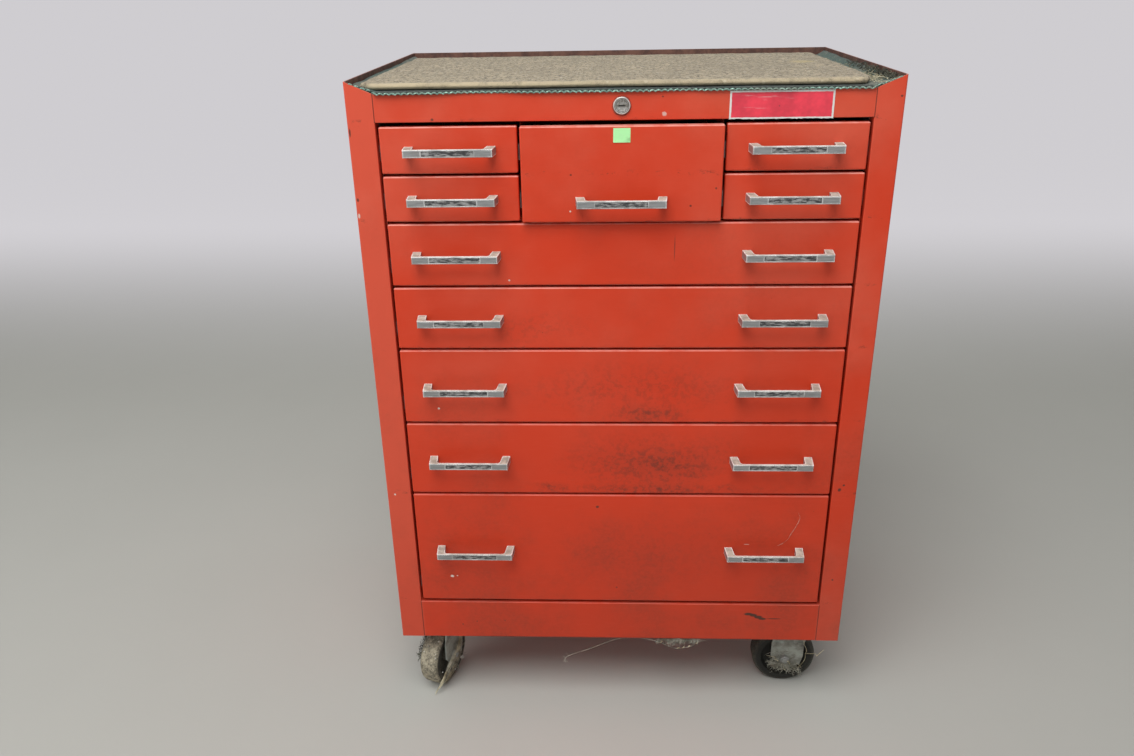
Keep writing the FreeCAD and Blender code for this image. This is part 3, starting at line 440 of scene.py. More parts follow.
@mask_group("Gap grime", Level=0.0, Reach=0.006)
def gap_grime(graph, level, reach):
    """Dark dabs along a level line, such as a drawer's lower edge."""
    band = graph.ramp(abs(graph.parts[2] - level), reach, 0.0)
    dabs = graph.ramp(graph.cloud(1.0, 6.0, 0.8, (60.0, 20.0, 130.0)), 0.55, 0.68)
    return band * dabs * (graph.parts[1] < FRONT + 10.0 * MM)


@mask_group("Painted bend highlight", Low=0.12, High=0.45)
def painted_bend_highlight(graph, low, high):
    """Where a painted highlight goes: the rounded bend along the top of a drawer front."""
    broken = graph.ramp(graph.cloud(60.0, stretch=(1.0, 0.2, 0.2)), 0.3, 0.6, 0.45, 1.0)
    return graph.ramp(graph.upward, low, high) * (graph.parts[1] < FRONT + 4.3 * MM) * broken


@mask_group("Seam line", Side=0.308, Top=0.9234, Foot=0.195)
def seam_line(graph, side, top, foot):
    """The joint lines between the posts and the rails."""
    x, y, z = graph.parts
    line = graph.ramp(abs(abs(x) - side), 0.0009, 0.0003)
    return line * (z > top).most(z < foot) * (y < FACE_DEPTH)


@mask_group("Settled dust", Breaks=200.0)
def settled_dust(graph, breaks):
    """The faces that look up, where dust settles."""
    return graph.ramp(graph.upward, 0.4, 0.8) * graph.ramp(graph.cloud(breaks), 0.3, 0.6, 0.55, 1.0)


@mask_group("Rim inside", Floor=0.9584, Side=0.34185, Back=CAD_BOX[1][1] - 1.15 * MM)
def rim_inside(graph, floor, side, back):
    """The soiled inner side and top edge of the tray's rim."""
    x, y, z = graph.parts
    inner = ((z > floor) * (abs(x) < side)) * ((y < back) * (y > FRONT + 1.1 * MM))
    top = graph.ramp(z, 0.9722, 0.9727, 0.0, 0.8) * (y > FRONT + 8.0 * MM)
    return inner.most(top)


@mask_group("Tread dust", Centre=(0.0, 0.0, 0.0), Axle=(1.0, 0.0, 0.0), Inner=0.042, Outer=0.049)
def tread_dust(graph, centre, axle, inner, outer):
    """Dust on a wheel, by its distance from the axle."""
    offset = graph.vector_math("SUBTRACT", graph.place, centre, "Vector")
    across = graph.vector_math("CROSS_PRODUCT", offset, axle, "Vector")
    tread = graph.ramp(graph.vector_math("LENGTH", across), inner, outer)
    return tread * graph.ramp(graph.cloud(90.0, 6.0, 0.7), 0.3, 0.62, 0.3, 1.0)


# Marks on the front, in groups that share raggedness, grain, softness and mottling.
# Each mark: x, z, half width and half height in millimetres, and strength.
SOIL_AND_SHADOW_MARKS = (
    # grime on the fourth wide drawer, its darker middle, its lower fringe and the fringe's left end
    (1.0, 12.0, 0.0, 0.7, (50, 442, 170, 60, 0.5)),
    (1.3, 40.0, 0.0, 0.6, (72, 440, 75, 36, 0.36)),
    (1.2, 45.0, 0.0, 0.75, (40, 398, 230, 14, 0.62)),
    (1.3, 40.0, 0.0, 0.8, (-100, 404, 40, 10, 0.5)),
    # grime and film on the third, film on the lowest and on the second wide drawer
    (1.3, 30.0, 0.0, 0.7, (50, 520, 80, 20, 0.6)),
    (1.0, 9.0, 0.0, 0.8, (20, 560, 240, 50, 0.28)),
    (1.0, 8.0, 0.0, 0.5, (60, 290, 200, 90, 0.22)),
    (1.1, 14.0, 0.0, 0.9, (-120, 650, 110, 40, 0.2)),
    # scuff on the foot, and its tail
    (0.7, 150.0, 0.55, 0.0, (201, 177.4, 8, 3.2, 0.95), (209, 175, 7.5, 3.2, 0.95),
     (216.5, 171.6, 8, 3.6, 0.95), (222.5, 168.4, 7, 2.6, 0.95)),
    (1.0, 190.0, 0.4, 0.0, (240, 168.8, 15, 1.4, 0.8)),
    # chips on the posts
    (1.0, 260.0, 0.5, 0.0, (318, 399.5, 3, 3.6, 0.9), (323.5, 407, 2.2, 2, 0.9)),
    (0.8, 260.0, 0.5, 0.0, (323.3, 242.5, 1.8, 2.2, 0.9)),
    (1.0, 260.0, 0.5, 0.0, (-340.5, 912, 1.6, 6, 0.9), (-339.5, 827, 2, 3, 0.8)),
    # scratch on the first wide drawer, spots on the lowest, painted shadow round the lock
    (0.5, 60.0, 0.4, 0.0, (70, 760, 1, 21, 0.6)),
    (0.8, 200.0, 0.5, 0.0, (-32, 368.4, 3, 2.6, 0.85), (159.4, 298.4, 2, 2, 0.85)),
    (0.3, 150.0, 0.78, 0.0, (0, 940.3, 13, 13.2, 0.8)),
    # spots on the rail, by the lock, on the middle drawer, by the right seam and low in the middle
    (0.8, 220.0, 0.5, 0.0, (-235.5, 926.5, 2.2, 1.8, 0.85), (50, 951, 1.6, 1.6, 0.8),
     (119, 840, 1.6, 1.6, 0.8), (338, 948, 2, 1.8, 0.8)),
    (0.7, 220.0, 0.5, 0.0, (-3, 225, 1.7, 2, 0.7)),
    # spots on the foot, a smudge over it and its dark lower edge
    (1.0, 220.0, 0.4, 0.0, (-222, 158, 2, 2.2, 0.7), (-245, 152, 1.8, 1.8, 0.7),
     (-178, 160, 1.8, 1.6, 0.6)),
    (1.2, 160.0, 0.2, 0.0, (-218, 200, 3, 3, 0.6)),
    (0.9, 30.0, 0.55, 0.0, (0, 128.5, 360, 2.2, 0.55)),
)
PALE_MARKS = (
    # paint drops under the left pulls and on the small drawer
    (1.1, 260.0, 0.5, 0.0, (-255.7, 243.3, 3.4, 2.6, 0.95)),
    (1.0, 260.0, 0.5, 0.0, (-248, 244, 1.4, 1.2, 0.8), (-256, 529, 2.2, 1.8, 0.9),
     (-148, 718, 1.8, 1.6, 0.8), (-289, 708, 1.4, 1.4, 0.8)),
    # speck low in the middle drawer, smear by the right pull
    (0.8, 260.0, 0.5, 0.0, (-65, 812, 1.5, 1.5, 0.9)),
    (1.0, 160.0, 0.5, 0.0, (190, 305, 5, 0.7, 0.5)),
    # speck on the left post, rub on the top rail, speck high on the left post, smudge over the foot
    (0.7, 300.0, 0.5, 0.0, (-331.5, 388, 1.8, 2, 0.95)),
    (1.5, 240.0, 0.5, 0.0, (52, 930, 3.5, 3.2, 0.6)),
    (1.1, 300.0, 0.5, 0.0, (-340, 806, 1.8, 4, 0.7)),
    (1.2, 160.0, 0.3, 0.0, (-85, 198.5, 6, 2.2, 0.45)),
)


# ---------------------------------------------------------------- materials

def front_marks(graph, groups, color):
    """The coats of some marks on the front."""
    coats = []
    for ragged, grain, soft, mottle, *marks in groups:
        for x, z, wide, high, strength in marks:
            mask = graph.mask("Front mark", X=x * MM, Z=z * MM, Wide=wide * MM, High=high * MM,
                              Ragged=ragged, Grain=grain, Soft=soft, Mottle=mottle)
            coats.append((mask * strength, color))
    return coats


def enamel_material(settings, levels):
    """Orange-red enamel: faded, soiled, rubbed at its edges and dotted with paint and rust, with painted shade
    towards the foot, painted highlights on the left post and along the drawers' top bends, and a painted shadow
    round the lock.
    """
    graph = new_material("cabinet_enamel")
    x, _, z = graph.parts
    fade = graph.ramp(graph.cloud(3.4, 5.0, 0.6), 0.36, 0.72)
    worn = graph.ramp(z, 0.3, 0.95, 0.12, 0.75).most(graph.ramp(abs(x), 0.303, 0.309, 0.0, 0.85))
    # painted highlight: the left post is laid paler with the chalky colour
    left_post_highlight = graph.ramp(x, -0.303, -0.309, 0.0, 0.55)
    brushed = graph.cloud(6.0, 5.0, 0.7, (6.0, 6.0, 60.0))
    soil = graph.mask("Workshop soil", Amount=settings.soil_amount)
    rim = graph.mask("Rim inside")
    rust = graph.mix(graph.ramp(graph.cloud(60.0, 6.0, 0.7), 0.35, 0.65), (0.05, 0.045, 0.038),
                     (0.16, 0.095, 0.07))
    grime_and_shade = [(graph.mask("Gap grime", Level=level) * 0.7, (0.05, 0.022, 0.016)) for level in levels]
    color = graph.coats(
        settings.color,
        ((fade * worn).most(left_post_highlight), settings.faded),
        # painted shade: a darker copy of the enamel towards the foot
        (graph.ramp(z, 0.45, 0.13, 0.0, 0.35), shaded(settings.color, 0.72)),
        (graph.ramp(brushed, 0.5, 0.85, 0.0, 0.16), settings.faded),
        (graph.mask("Worn edges and painted highlight", Width=settings.edge_width) * 0.6, settings.edge),
        (soil, settings.soil),
        (graph.mask("Specks", Scale=46.0, Size=0.075, Share=0.22) * 0.8, (0.03, 0.016, 0.012)),
        (graph.mask("Specks", Scale=31.0, Size=0.045, Share=0.1) * 0.75, (0.72, 0.55, 0.45)),
        # dark marks: soil, and a painted shadow round the lock
        *front_marks(graph, SOIL_AND_SHADOW_MARKS, (0.06, 0.03, 0.02)),
        *front_marks(graph, PALE_MARKS, (0.75, 0.68, 0.6)),
        *grime_and_shade,
        (graph.mask("Seam line") * 0.75, (0.06, 0.018, 0.012)),
        # painted highlight along the drawers' top bends, stronger higher up
        (graph.mask("Painted bend highlight") * graph.ramp(z, 0.25, 0.9, 0.12, 0.62), (0.8, 0.42, 0.35)),
        (rim * 0.93, rust))
    peel = graph.cloud(420.0, 2.0) * 0.5 + graph.cloud(38.0, 2.0) * 1.2
    return graph.surface(Base_Color=color, Roughness=graph.blend(soil, 0.42, 0.64) + rim * 0.25,
                         Specular_IOR_Level=0.32, Normal=graph.bump(peel, 0.00012, 0.6))


def zinc_material(settings):
    """Plated steel with a fine grain along X, stains and a rubbed sheen."""
    graph = new_material("zinc_steel")
    lines = graph.cloud(1.0, 3.0, 0.6, (40.0, 900.0, 900.0))
    cloud = graph.cloud(34.0, 5.0, 0.65)
    stained = graph.ramp(cloud, 0.5, 0.8) * 0.35
    color = graph.coats(settings.zinc,
                        (graph.ramp(lines, 0.3, 0.7, 0.0, 0.22), shaded(settings.zinc, 0.62)),
                        (stained, (0.12, 0.09, 0.06)))
    return graph.surface(Base_Color=color, Metallic=0.8 - stained * 0.56,
                         Roughness=graph.ramp(lines, 0.2, 0.8, 0.39, 0.53) + stained * 0.35,
                         Normal=graph.bump(lines * 0.4 + cloud, 0.00006, 0.5))


def pull_material(settings):
    """Worn plating on a die-cast pull: grey in front, a painted highlight along its edges, dusty on top."""
    graph = new_material("pull_chrome")
    lines = graph.cloud(1.0, 4.0, 0.65, (60.0, 700.0, 700.0))
    cloud = graph.cloud(60.0, 6.0, 0.7)
    dust = graph.mask("Settled dust")
    dull = graph.mix(graph.ramp(cloud, 0.4, 0.62), (0.62, 0.585, 0.48), (0.36, 0.33, 0.26))
    # painted highlight: near-white along the pull's edges
    edge = (graph.mask("Worn edges and painted highlight", Width=0.0028, Breaks=45.0) * 1.7).clamped()
    color = graph.coats(settings.pull,
                        (graph.ramp(lines, 0.35, 0.7), shaded(settings.pull, 0.72)),
                        (graph.ramp(cloud, 0.5, 0.72, 0.0, 0.45), (0.24, 0.215, 0.18)),
                        (dust * 0.9, dull),
                        # painted highlight along the edges
                        (edge, (0.95, 0.95, 0.93)))
    return graph.surface(Base_Color=color, Metallic=(1.0 - dust.most(edge * 0.6)) * 0.45,
                         Roughness=graph.blend(dust, 0.38, 0.8),
                         Normal=graph.bump(cloud + lines, 0.00008, 0.5))


def lock_material(axis_height):
    """Lock steel: bright rim, a painted highlight low on the plug, dark ring round the plug and a stained face."""
    graph = new_material("lock_steel")
    x, _, z = graph.parts
    up = z - axis_height
    radius = (x * x + up * up).root()
    cloud = graph.cloud(420.0, 5.0, 0.7)
    inside = graph.ramp(radius, 0.0092, 0.0086)
    # painted highlight: light spots on the lower part of the plug; outside the plug this is the bright metal rim
    bright = (graph.ramp(up, -0.0008, -0.0035) * inside).most(1.0 - inside)
    groove = graph.ramp(abs(radius - 0.0088), 0.0005, 0.0001)
    dark = groove.most(graph.ramp(abs(radius - 0.00703), 0.0004, 0.0001))
    color = graph.coats((0.52, 0.51, 0.48),
                        (graph.ramp(cloud, 0.4, 0.65), (0.2, 0.175, 0.14)),
                        (inside * 0.45, (0.13, 0.115, 0.095)),
                        (bright * graph.ramp(cloud, 0.44, 0.58, 0.05, 0.75), (0.8, 0.79, 0.76)),
                        (dark * 0.85, (0.02, 0.018, 0.015)))
    return graph.surface(Base_Color=color, Metallic=0.8 - dark * 0.7,
                         Roughness=graph.ramp(cloud, 0.3, 0.7, 0.28, 0.55),
                         Normal=graph.bump(cloud - groove * 2.0, 0.0003, 0.6))


def fork_material(settings):
    """Grey fork under dust and grease."""
    graph = new_material("fork_steel")
    cloud = graph.cloud(55.0, 7.0, 0.7)
    greasy = graph.ramp(graph.cloud(22.0, 5.0, 0.7), 0.5, 0.72)
    color = graph.coats(settings.fork,
                        (graph.ramp(cloud, 0.35, 0.7), (0.2, 0.19, 0.16)),
                        (graph.mask("Worn edges and painted highlight", Width=0.001) * 0.7, (0.5, 0.5, 0.47)),
                        (greasy * 0.75, (0.045, 0.04, 0.033)))
    return graph.surface(Base_Color=color, Roughness=graph.blend(greasy, 0.6, 0.85), Metallic=0.25,
                         Normal=graph.bump(cloud, 0.0004, 0.7))


def wheel_material(corner, settings, dusty):
    """Hard rubber with a dusty tread."""
    graph = new_material(f"wheel_rubber_{corner}")
    joint = wheel_joint(corner)
    tread = graph.mask("Tread dust", Centre=joint["pos_m"], Axle=joint["axis"])
    cloud = graph.cloud(330.0, 7.0, 0.75)
    dust = graph.coats(settings.dust,
                       (graph.ramp(cloud, 0.42, 0.68), (0.15, 0.13, 0.095)),
                       (graph.mask("Specks", Scale=300.0, Size=0.4, Share=0.1), (0.75, 0.74, 0.68)))
    film = graph.ramp(graph.cloud(30.0, 5.0), 0.4, 0.75, 0.05, 0.3) * dusty
    amount = (tread * dusty).most(film)
    return graph.surface(Base_Color=graph.mix(amount, settings.rubber, dust),
                         Roughness=graph.blend(amount, 0.6, 0.95), Specular_IOR_Level=0.15,
                         Normal=graph.bump(cloud, 0.0009, 0.8))


def liner_material(name, color, grime_and_shade):
    """Green mesh: small woven cells with dust in them, and a strip of painted shadow along the front."""
    graph = new_material(name)
    x, y, _ = graph.parts
    strand = graph.ramp(graph.cells(graph.stretch((1.0, 1.3, 1.0)), 260.0)[0], 0.15, 0.6)
    # painted shadow: the mask of the darkened strip along the liner's front
    edge = graph.ramp(y, FRONT + 10.0 * MM, FRONT + 5.0 * MM) * graph.ramp(abs(x), 0.306, 0.3)
    tone = graph.coats(color,
                       (strand, shaded(color, 0.35)),
                       (graph.ramp(graph.cloud(16.0, 6.0, 0.7), 0.42, 0.7, 0.0, 0.5), (0.28, 0.25, 0.19)),
                       (edge * grime_and_shade, (0.012, 0.022, 0.018)))
    return graph.surface(Base_Color=tone, Roughness=0.8, Sheen_Weight=0.2,
                         Normal=graph.bump(1.0 - strand, 0.0012, 1.0))


def pad_material(settings, low):
    """Tan fibre pad worn to a mottled grey-brown, with a paler front edge, lint and one stain."""
    graph = new_material("pad_fabric")
    x, y, _ = graph.parts
    broad = graph.cloud(170.0, 8.0, 0.82, (1.0, 0.5, 1.0))
    fine = graph.cloud(420.0, 6.0, 0.8)
    stains = graph.ramp(graph.cloud(24.0, 6.0, 0.7), 0.42, 0.62, 0.0, 0.65)
    front = graph.ramp(y, low.y + 9.0 * MM, low.y + 3.0 * MM)
    left = graph.ramp(x, 0.3, -0.3, 0.6, 1.0)
    worn = graph.ramp(graph.cloud(45.0, 6.0, 0.7), 0.3, 0.56, 0.35, 1.0)
    yellow_middle = (0.262, 0.02, 0.967)
    from_yellow = graph.vector_math("DISTANCE", graph.place, yellow_middle) + (fine - 0.5) * 0.05
    color = graph.coats(
        settings.pad_soil,
        (graph.ramp(broad, 0.45, 0.51), settings.pad),
        (stains, (0.24, 0.185, 0.115)),
        (graph.ramp(fine, 0.45, 0.62, 0.0, 0.6), (0.6, 0.52, 0.37)),
        (graph.mask("Specks", Scale=170.0, Size=0.4, Share=0.3) * 0.8, (0.7, 0.64, 0.5)),
        (graph.mask("Specks", Scale=120.0, Size=0.3, Share=0.2) * 0.7, (0.05, 0.035, 0.02)),
        (front * left * worn, settings.pad_edge),
        (graph.ramp(from_yellow, 0.024, 0.01, 0.0, 0.6), (0.62, 0.5, 0.22)))
    return graph.surface(Base_Color=color, Roughness=0.95, Sheen_Weight=0.2,
                         Normal=graph.bump(fine * 0.8 + broad, 0.0022, 1.0))


def foil_material(settings, low, high):
    """The badge: red foil inside a silver rim, scuffed."""
    graph = new_material("badge_foil")
    rim = settings.badge_rim
    wobble = (graph.cloud(160.0) - 0.5) * 0.0012
    x, z = graph.parts[0] + wobble, graph.parts[2] + wobble
    sides = (x - (low.x + rim)).least((high.x - rim) - x)
    nearest = sides.least((z - (low.z + rim)).least((high.z - rim) - z))
    scuffs = graph.ramp(graph.cloud(1.0, 6.0, 0.75, (14.0, 60.0, 170.0)), 0.6, 0.74)
    field = graph.ramp(nearest, -0.0001, 0.0003) * (1.0 - scuffs * 0.55)
    red = graph.mix(graph.ramp(graph.cloud(45.0), 0.3, 0.7), settings.badge, shaded(settings.badge, 0.72))
    dark = graph.mask("Specks", Scale=120.0, Size=0.13, Share=0.16)
    return graph.surface(
        Base_Color=graph.coats(settings.foil, (field, red), (dark, (0.05, 0.03, 0.03))),
        Roughness=graph.blend(field, 0.42, 0.34), Metallic=graph.blend(field, 0.25, 0.0),
        Normal=graph.bump(graph.cloud(70.0, 3.0), 0.0004, 0.6))


def paper_material(settings):
    """The green label, a little soiled."""
    graph = new_material("label_paper")
    cloud = graph.cloud(130.0, 5.0, 0.7)
    faded = [min(1.0, part * 0.8 + 0.1) for part in settings.label]
    color = graph.coats(settings.label,
                        (graph.ramp(cloud, 0.4, 0.7, 0.0, 0.5), faded),
                        (graph.ramp(graph.cloud(60.0, 5.0), 0.55, 0.75, 0.0, 0.35), (0.12, 0.2, 0.06)))
    return graph.surface(Base_Color=color, Roughness=0.65, Normal=graph.bump(cloud, 0.0002, 0.5))


def inlay_material(settings):
    """Black strip with rubbed, greyed streaks."""
    graph = new_material("inlay_black")
    streaks = graph.cloud(1.0, 6.0, 0.75, (110.0, 90.0, 420.0))
    rubbed = graph.ramp(streaks, 0.44, 0.6, 0.0, 0.8)
    return graph.surface(Base_Color=graph.mix(rubbed, settings.inlay, (0.42, 0.42, 0.41)),
                         Roughness=graph.blend(rubbed, 0.42, 0.6),
                         Normal=graph.bump(streaks, 0.0001, 0.5))


def fibre_material(name, pale, dark):
    """Straw, hair or lint."""
    graph = new_material(name)
    return graph.surface(
        Base_Color=graph.mix(graph.ramp(graph.cloud(75.0, 3.0), 0.38, 0.62), pale, dark),
        Roughness=0.8, Normal=graph.bump(graph.cloud(900.0, 2.0), 0.0002, 0.5))


def floor_material(settings):
    """A pale floor that is seen as a plain backdrop far behind."""
    graph = new_material("pale_floor")
    near = graph.mix(graph.cloud(3.0, 6.0, 0.6), settings.floor, shaded(settings.floor, 0.94))
    behind = graph.ramp(graph.parts[1], 0.9, 3.0) * graph.seen
    return graph.surface(Base_Color=graph.mix(behind, near, (0.0, 0.0, 0.0)),
                         Emission_Color=graph.mix(behind, (0.0, 0.0, 0.0), settings.backdrop),
                         Emission_Strength=1.0, Roughness=0.75,
                         Normal=graph.bump(graph.cloud(60.0), 0.0006, 0.4))


# ---------------------------------------------------------------- mesh helpers

def plain_mesh(name, points, faces):
    """A mesh as it is given."""
    mesh = bpy.data.meshes.new(name)
    mesh.from_pydata([tuple(point) for point in points], [], faces)
    return mesh


def mesh_from(name, points, faces):
    """A mesh with its faces turned outwards."""
    mesh = plain_mesh(name, points, faces)
    work = bmesh.new()
    work.from_mesh(mesh)
    bmesh.ops.remove_doubles(work, verts=work.verts, dist=1e-7)
    bmesh.ops.recalc_face_normals(work, faces=work.faces)
    work.to_mesh(mesh)
    work.free()
    return mesh


def add_object(name, mesh, material, smooth):
    """Link a mesh with its material to the scene."""
    made = bpy.data.objects.new(name, mesh)
    bpy.context.scene.collection.objects.link(made)
    mesh.materials.append(material)
    for polygon in mesh.polygons:
        polygon.use_smooth = smooth
    return made


def add_piece(name, mesh, material, body, smooth=True):
    """Add a mesh as a piece that rides on a body."""
    piece = add_object(name, mesh, material, smooth)
    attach(piece, body)
    return piece


def corners_of(node):
    """The low and the high corner of a CAD node's box."""
    return (Vector(corner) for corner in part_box(node))


def slab_mesh(name, columns, rows, point):
    """A closed slab: point(u, v, side) gives its underside at side 0 and its top at side 1."""
    width = columns + 1
    sheet = width * (rows + 1)
    points = [point(column / columns, row / rows, side)
              for side in (0, 1) for row in range(rows + 1) for column in range(width)]
    faces = []
    for row in range(rows):
        for column in range(columns):
            first = row * width + column
            lower = (first, first + 1, first + width + 1, first + width)
            faces.append(lower)
            faces.append(tuple(sheet + corner for corner in reversed(lower)))
    rim = (list(range(width))
           + [row * width + columns for row in range(1, rows + 1)]
           + [rows * width + column for column in range(columns - 1, -1, -1)]
           + [row * width for row in range(rows - 1, 0, -1)])
    faces += [(first, second, second + sheet, first + sheet)
              for first, second in zip(rim, rim[1:] + rim[:1])]
    return mesh_from(name, points, faces)


def tube(path, radii, sides):
    """Points and faces of a closed tube along a path."""
    points, faces = [], []
    for index, (place, radius) in enumerate(zip(path, radii)):
        ahead = path[min(index + 1, len(path) - 1)] - path[max(index - 1, 0)]
        ahead.normalize()
        side = ahead.orthogonal().normalized()
        other = ahead.cross(side)
        for step in range(sides):
            angle = 2.0 * math.pi * step / sides
            points.append(place + radius * (math.cos(angle) * side + math.sin(angle) * other))
    for ring in range(len(path) - 1):
        for step in range(sides):
            first = ring * sides + step
            second = ring * sides + (step + 1) % sides
            faces.append((first, second, second + sides, first + sides))
    faces.append(tuple(range(sides)))
    faces.append(tuple(range(len(points) - sides, len(points))))
    return points, faces


def plate(name, outline, thickness, front=0.0, lift=None):
    """A thin sheet with a softened rim, from an outline in X and Z; lift bends it forward."""
    centre = sum((Vector(corner) for corner in outline), Vector((0.0, 0.0))) / len(outline)
    rings = ((1.0, 0.0), (1.0, -0.6 * thickness), (0.985, -thickness))
    points = []
    count = len(outline)
    for scale, y in rings:
        for x, z in outline:
            x = centre.x + (x - centre.x) * scale
            z = centre.y + (z - centre.y) * scale
            points.append(Vector((x, front + y - (lift(x, z) if lift else 0.0), z)))
    faces = [(ring * count + step, ring * count + (step + 1) % count,
              (ring + 1) * count + (step + 1) % count, (ring + 1) * count + step)
             for ring in range(len(rings) - 1) for step in range(count)]
    faces.append(tuple(range(count)))
    faces.append(tuple(range(2 * count, 3 * count)))
    return mesh_from(name, points, faces)


def body_nodes(kind):
    """The CAD nodes whose record slot is of that kind."""
    return [item["node"] for item in frame["record"]["subparts"] if item["material_slot"] == kind]


def dress(nodes, material):
    """Give CAD nodes a material."""
    for name in nodes:
        node = frame["nodes"].get(name)
        if node is None:
            raise RuntimeError(f"the frame holds no node {name}")
        node.data.materials.clear()
        node.data.materials.append(material)


# ---------------------------------------------------------------- fibres

def curl(rng, start, heading, length, bend, steps=9):
    """A wandering path of the given length."""
    path = [start.copy()]
    heading = heading.normalized()
    for _ in range(steps - 1):
        swing = Vector([rng.uniform(-bend, bend) for _ in range(3)])
        heading = (heading + swing).normalized()
        path.append(path[-1] + heading * (length / (steps - 1)))
    return path


def fibre(rng, start, heading, lengths, bend, radii):
    """A curled fibre: its path and its radius, from ranges in millimetres."""
    path = curl(rng, start, heading, rng.uniform(*lengths) * MM, bend)
    return path, rng.uniform(*radii) * MM


def boxed(path, low, high):
    """A path held inside a box."""
    return [Vector([max(least, min(part, most)) for least, part, most in zip(low, point, high)])
            for point in path]


def smooth_path(knots, steps):
    """A smooth path through the knots, with a few steps between each two."""
    path = []
    for index in range(len(knots) - 1):
        before, after = knots[max(index - 1, 0)], knots[min(index + 2, len(knots) - 1)]
        start, end = knots[index], knots[index + 1]
        for step in range(steps):
            share = step / steps
            path.append(0.5 * (2.0 * start + (end - before) * share
                               + (2.0 * before - 5.0 * start + 4.0 * end - after) * share ** 2
                               + (3.0 * start - before - 3.0 * end + after) * share ** 3))
    path.append(knots[-1])
    return path


def front_knots(y, places):
    """Knots in front of the cabinet, from X and Z in millimetres."""
    return [Vector((x * MM, y, z * MM)) for x, z in places]


def add_fibres(name, strands, material, body):
    """Add fibres, each given by its path and radius, as one piece that rides on a body."""
    points, faces = [], []
    for path, radius in strands:
        steps = len(path)
        radii = [radius * (0.45 + 0.55 * math.sin(math.pi * (index + 0.6) / (steps + 0.2)))
                 for index in range(steps)]
        new_points, new_faces = tube(path, radii, 4)
        start = len(points)
        points += new_points
        faces += [tuple(start + corner for corner in face) for face in new_faces]
    add_piece(name, plain_mesh(name, points, faces), material, body, smooth=False)


def wheel_joint(corner):
    """The joint on which a wheel rolls."""
    return next(joint for joint in frame["joints"] if joint["child"] == f"wheel_{corner}_body")


class WheelFrame:
    """A wheel's middle and its directions: along in its plane, up, and its axle."""

    def __init__(self, corner):
        joint = wheel_joint(corner)
        self.centre = Vector(joint["pos_m"])
        self.axle = Vector(joint["axis"]).normalized()
        self.up = Vector((0.0, 0.0, 1.0))
        self.along = self.up.cross(self.axle)

    def way(self, along, up, axle=0.0):
        """A direction from its three parts."""
        return self.along * along + self.up * up + self.axle * axle

    def at(self, along, up, axle):
        """A point from its three parts in millimetres."""
        return self.centre + self.way(along, up, axle) * MM

    def off(self, point):
        """How far a point lies from the wheel's middle plane."""
        return (point - self.centre).dot(self.axle)


# ---------------------------------------------------------------- operators

class CABINET_OT_stage(bpy.types.Operator):
    """Set up the floor, the lamps, the sky and the camera"""
    bl_idname = "cabinet.stage"
    bl_label = "Set the stage"

    def execute(self, context):
        settings = context.scene.cabinet.stage
        self.add_floor(settings)
        self.add_sky(context, settings)
        self.add_lamp("key_lamp", (-0.5, -1.7, 3.3), settings.key_power)
        self.add_lamp("fill_lamp", (-2.6, -1.4, 1.5), settings.fill_power)
        self.add_camera(context, settings)
        return {"FINISHED"}

    @staticmethod
    def add_floor(settings):
        """A wide floor that rises far behind the cabinet, where it is seen as a pale backdrop."""
        front, back, bend, top, half_width, steps = -4.0, 3.0, 1.5, 6.0, 8.0, 12
        profile = [(front, 0.0), (back, 0.0)]
        for step in range(1, steps + 1):
            angle = math.radians(90.0 * step / steps)
            profile.append((back + bend * math.sin(angle), bend - bend * math.cos(angle)))
        profile.append((back + bend, top))
        points = [Vector((side * half_width, y, z)) for y, z in profile for side in (-1.0, 1.0)]
        faces = [(first, first + 1, first + 3, first + 2) for first in range(0, len(points) - 2, 2)]
        floor = add_object("floor", plain_mesh("floor", points, faces), floor_material(settings), True)

    @staticmethod
    def add_sky(context, settings):
        """Even light, seen by the camera and by gloss as a pale grey."""
        world = bpy.data.worlds.new("soft_sky")
        world.use_nodes = True
        graph = Graph(world.node_tree)
        light = world.node_tree.nodes["Background"]
        pale = graph.node("ShaderNodeBackground")
        for shader, color, strength in ((light, (1.0, 1.0, 1.0), settings.sky_strength),
                                        (pale, (0.86, 0.87, 0.88), 1.0)):
            graph.joined(shader, (color, strength))
        shown = graph.joined(graph.node("ShaderNodeMixShader"),
                             (graph.seen, light.outputs[0], pale.outputs[0]))
        graph.feed(world.node_tree.nodes["World Output"].inputs[0], shown)
        context.scene.world = world

    @staticmethod
    def add_lamp(name, place, power):
        """A square area lamp aimed at the cabinet's middle."""
        data = bpy.data.lights.new(name, "AREA")
        data.shape = "SQUARE"
        data.size = 2.0
        data.energy = power
        lamp = bpy.data.objects.new(name, data)
        lamp.location = place
        aim = Vector((0.0, 0.0, 0.5)) - Vector(place)
        lamp.rotation_euler = aim.to_track_quat("-Z", "Y").to_euler()
        bpy.context.scene.collection.objects.link(lamp)

    @staticmethod
    def add_camera(context, settings):
        """The camera, with its place and turn in the cabinet's frame."""
        data = bpy.data.cameras.new("front_camera")
        data.sensor_width = 36.0
        data.lens = settings.lens
        data.dof.use_dof = False
        camera = bpy.data.objects.new("front_camera", data)
        facing = (Matrix.Rotation(settings.yaw, 4, "Z")
                  @ Matrix.Rotation(math.radians(90.0) - settings.pitch, 4, "X")
                  @ Matrix.Rotation(settings.roll, 4, "Z"))
        camera.matrix_world = Matrix.Translation(settings.camera_place) @ facing
        context.scene.collection.objects.link(camera)
        context.scene.camera = camera
        context.scene.view_settings.view_transform = "Standard"


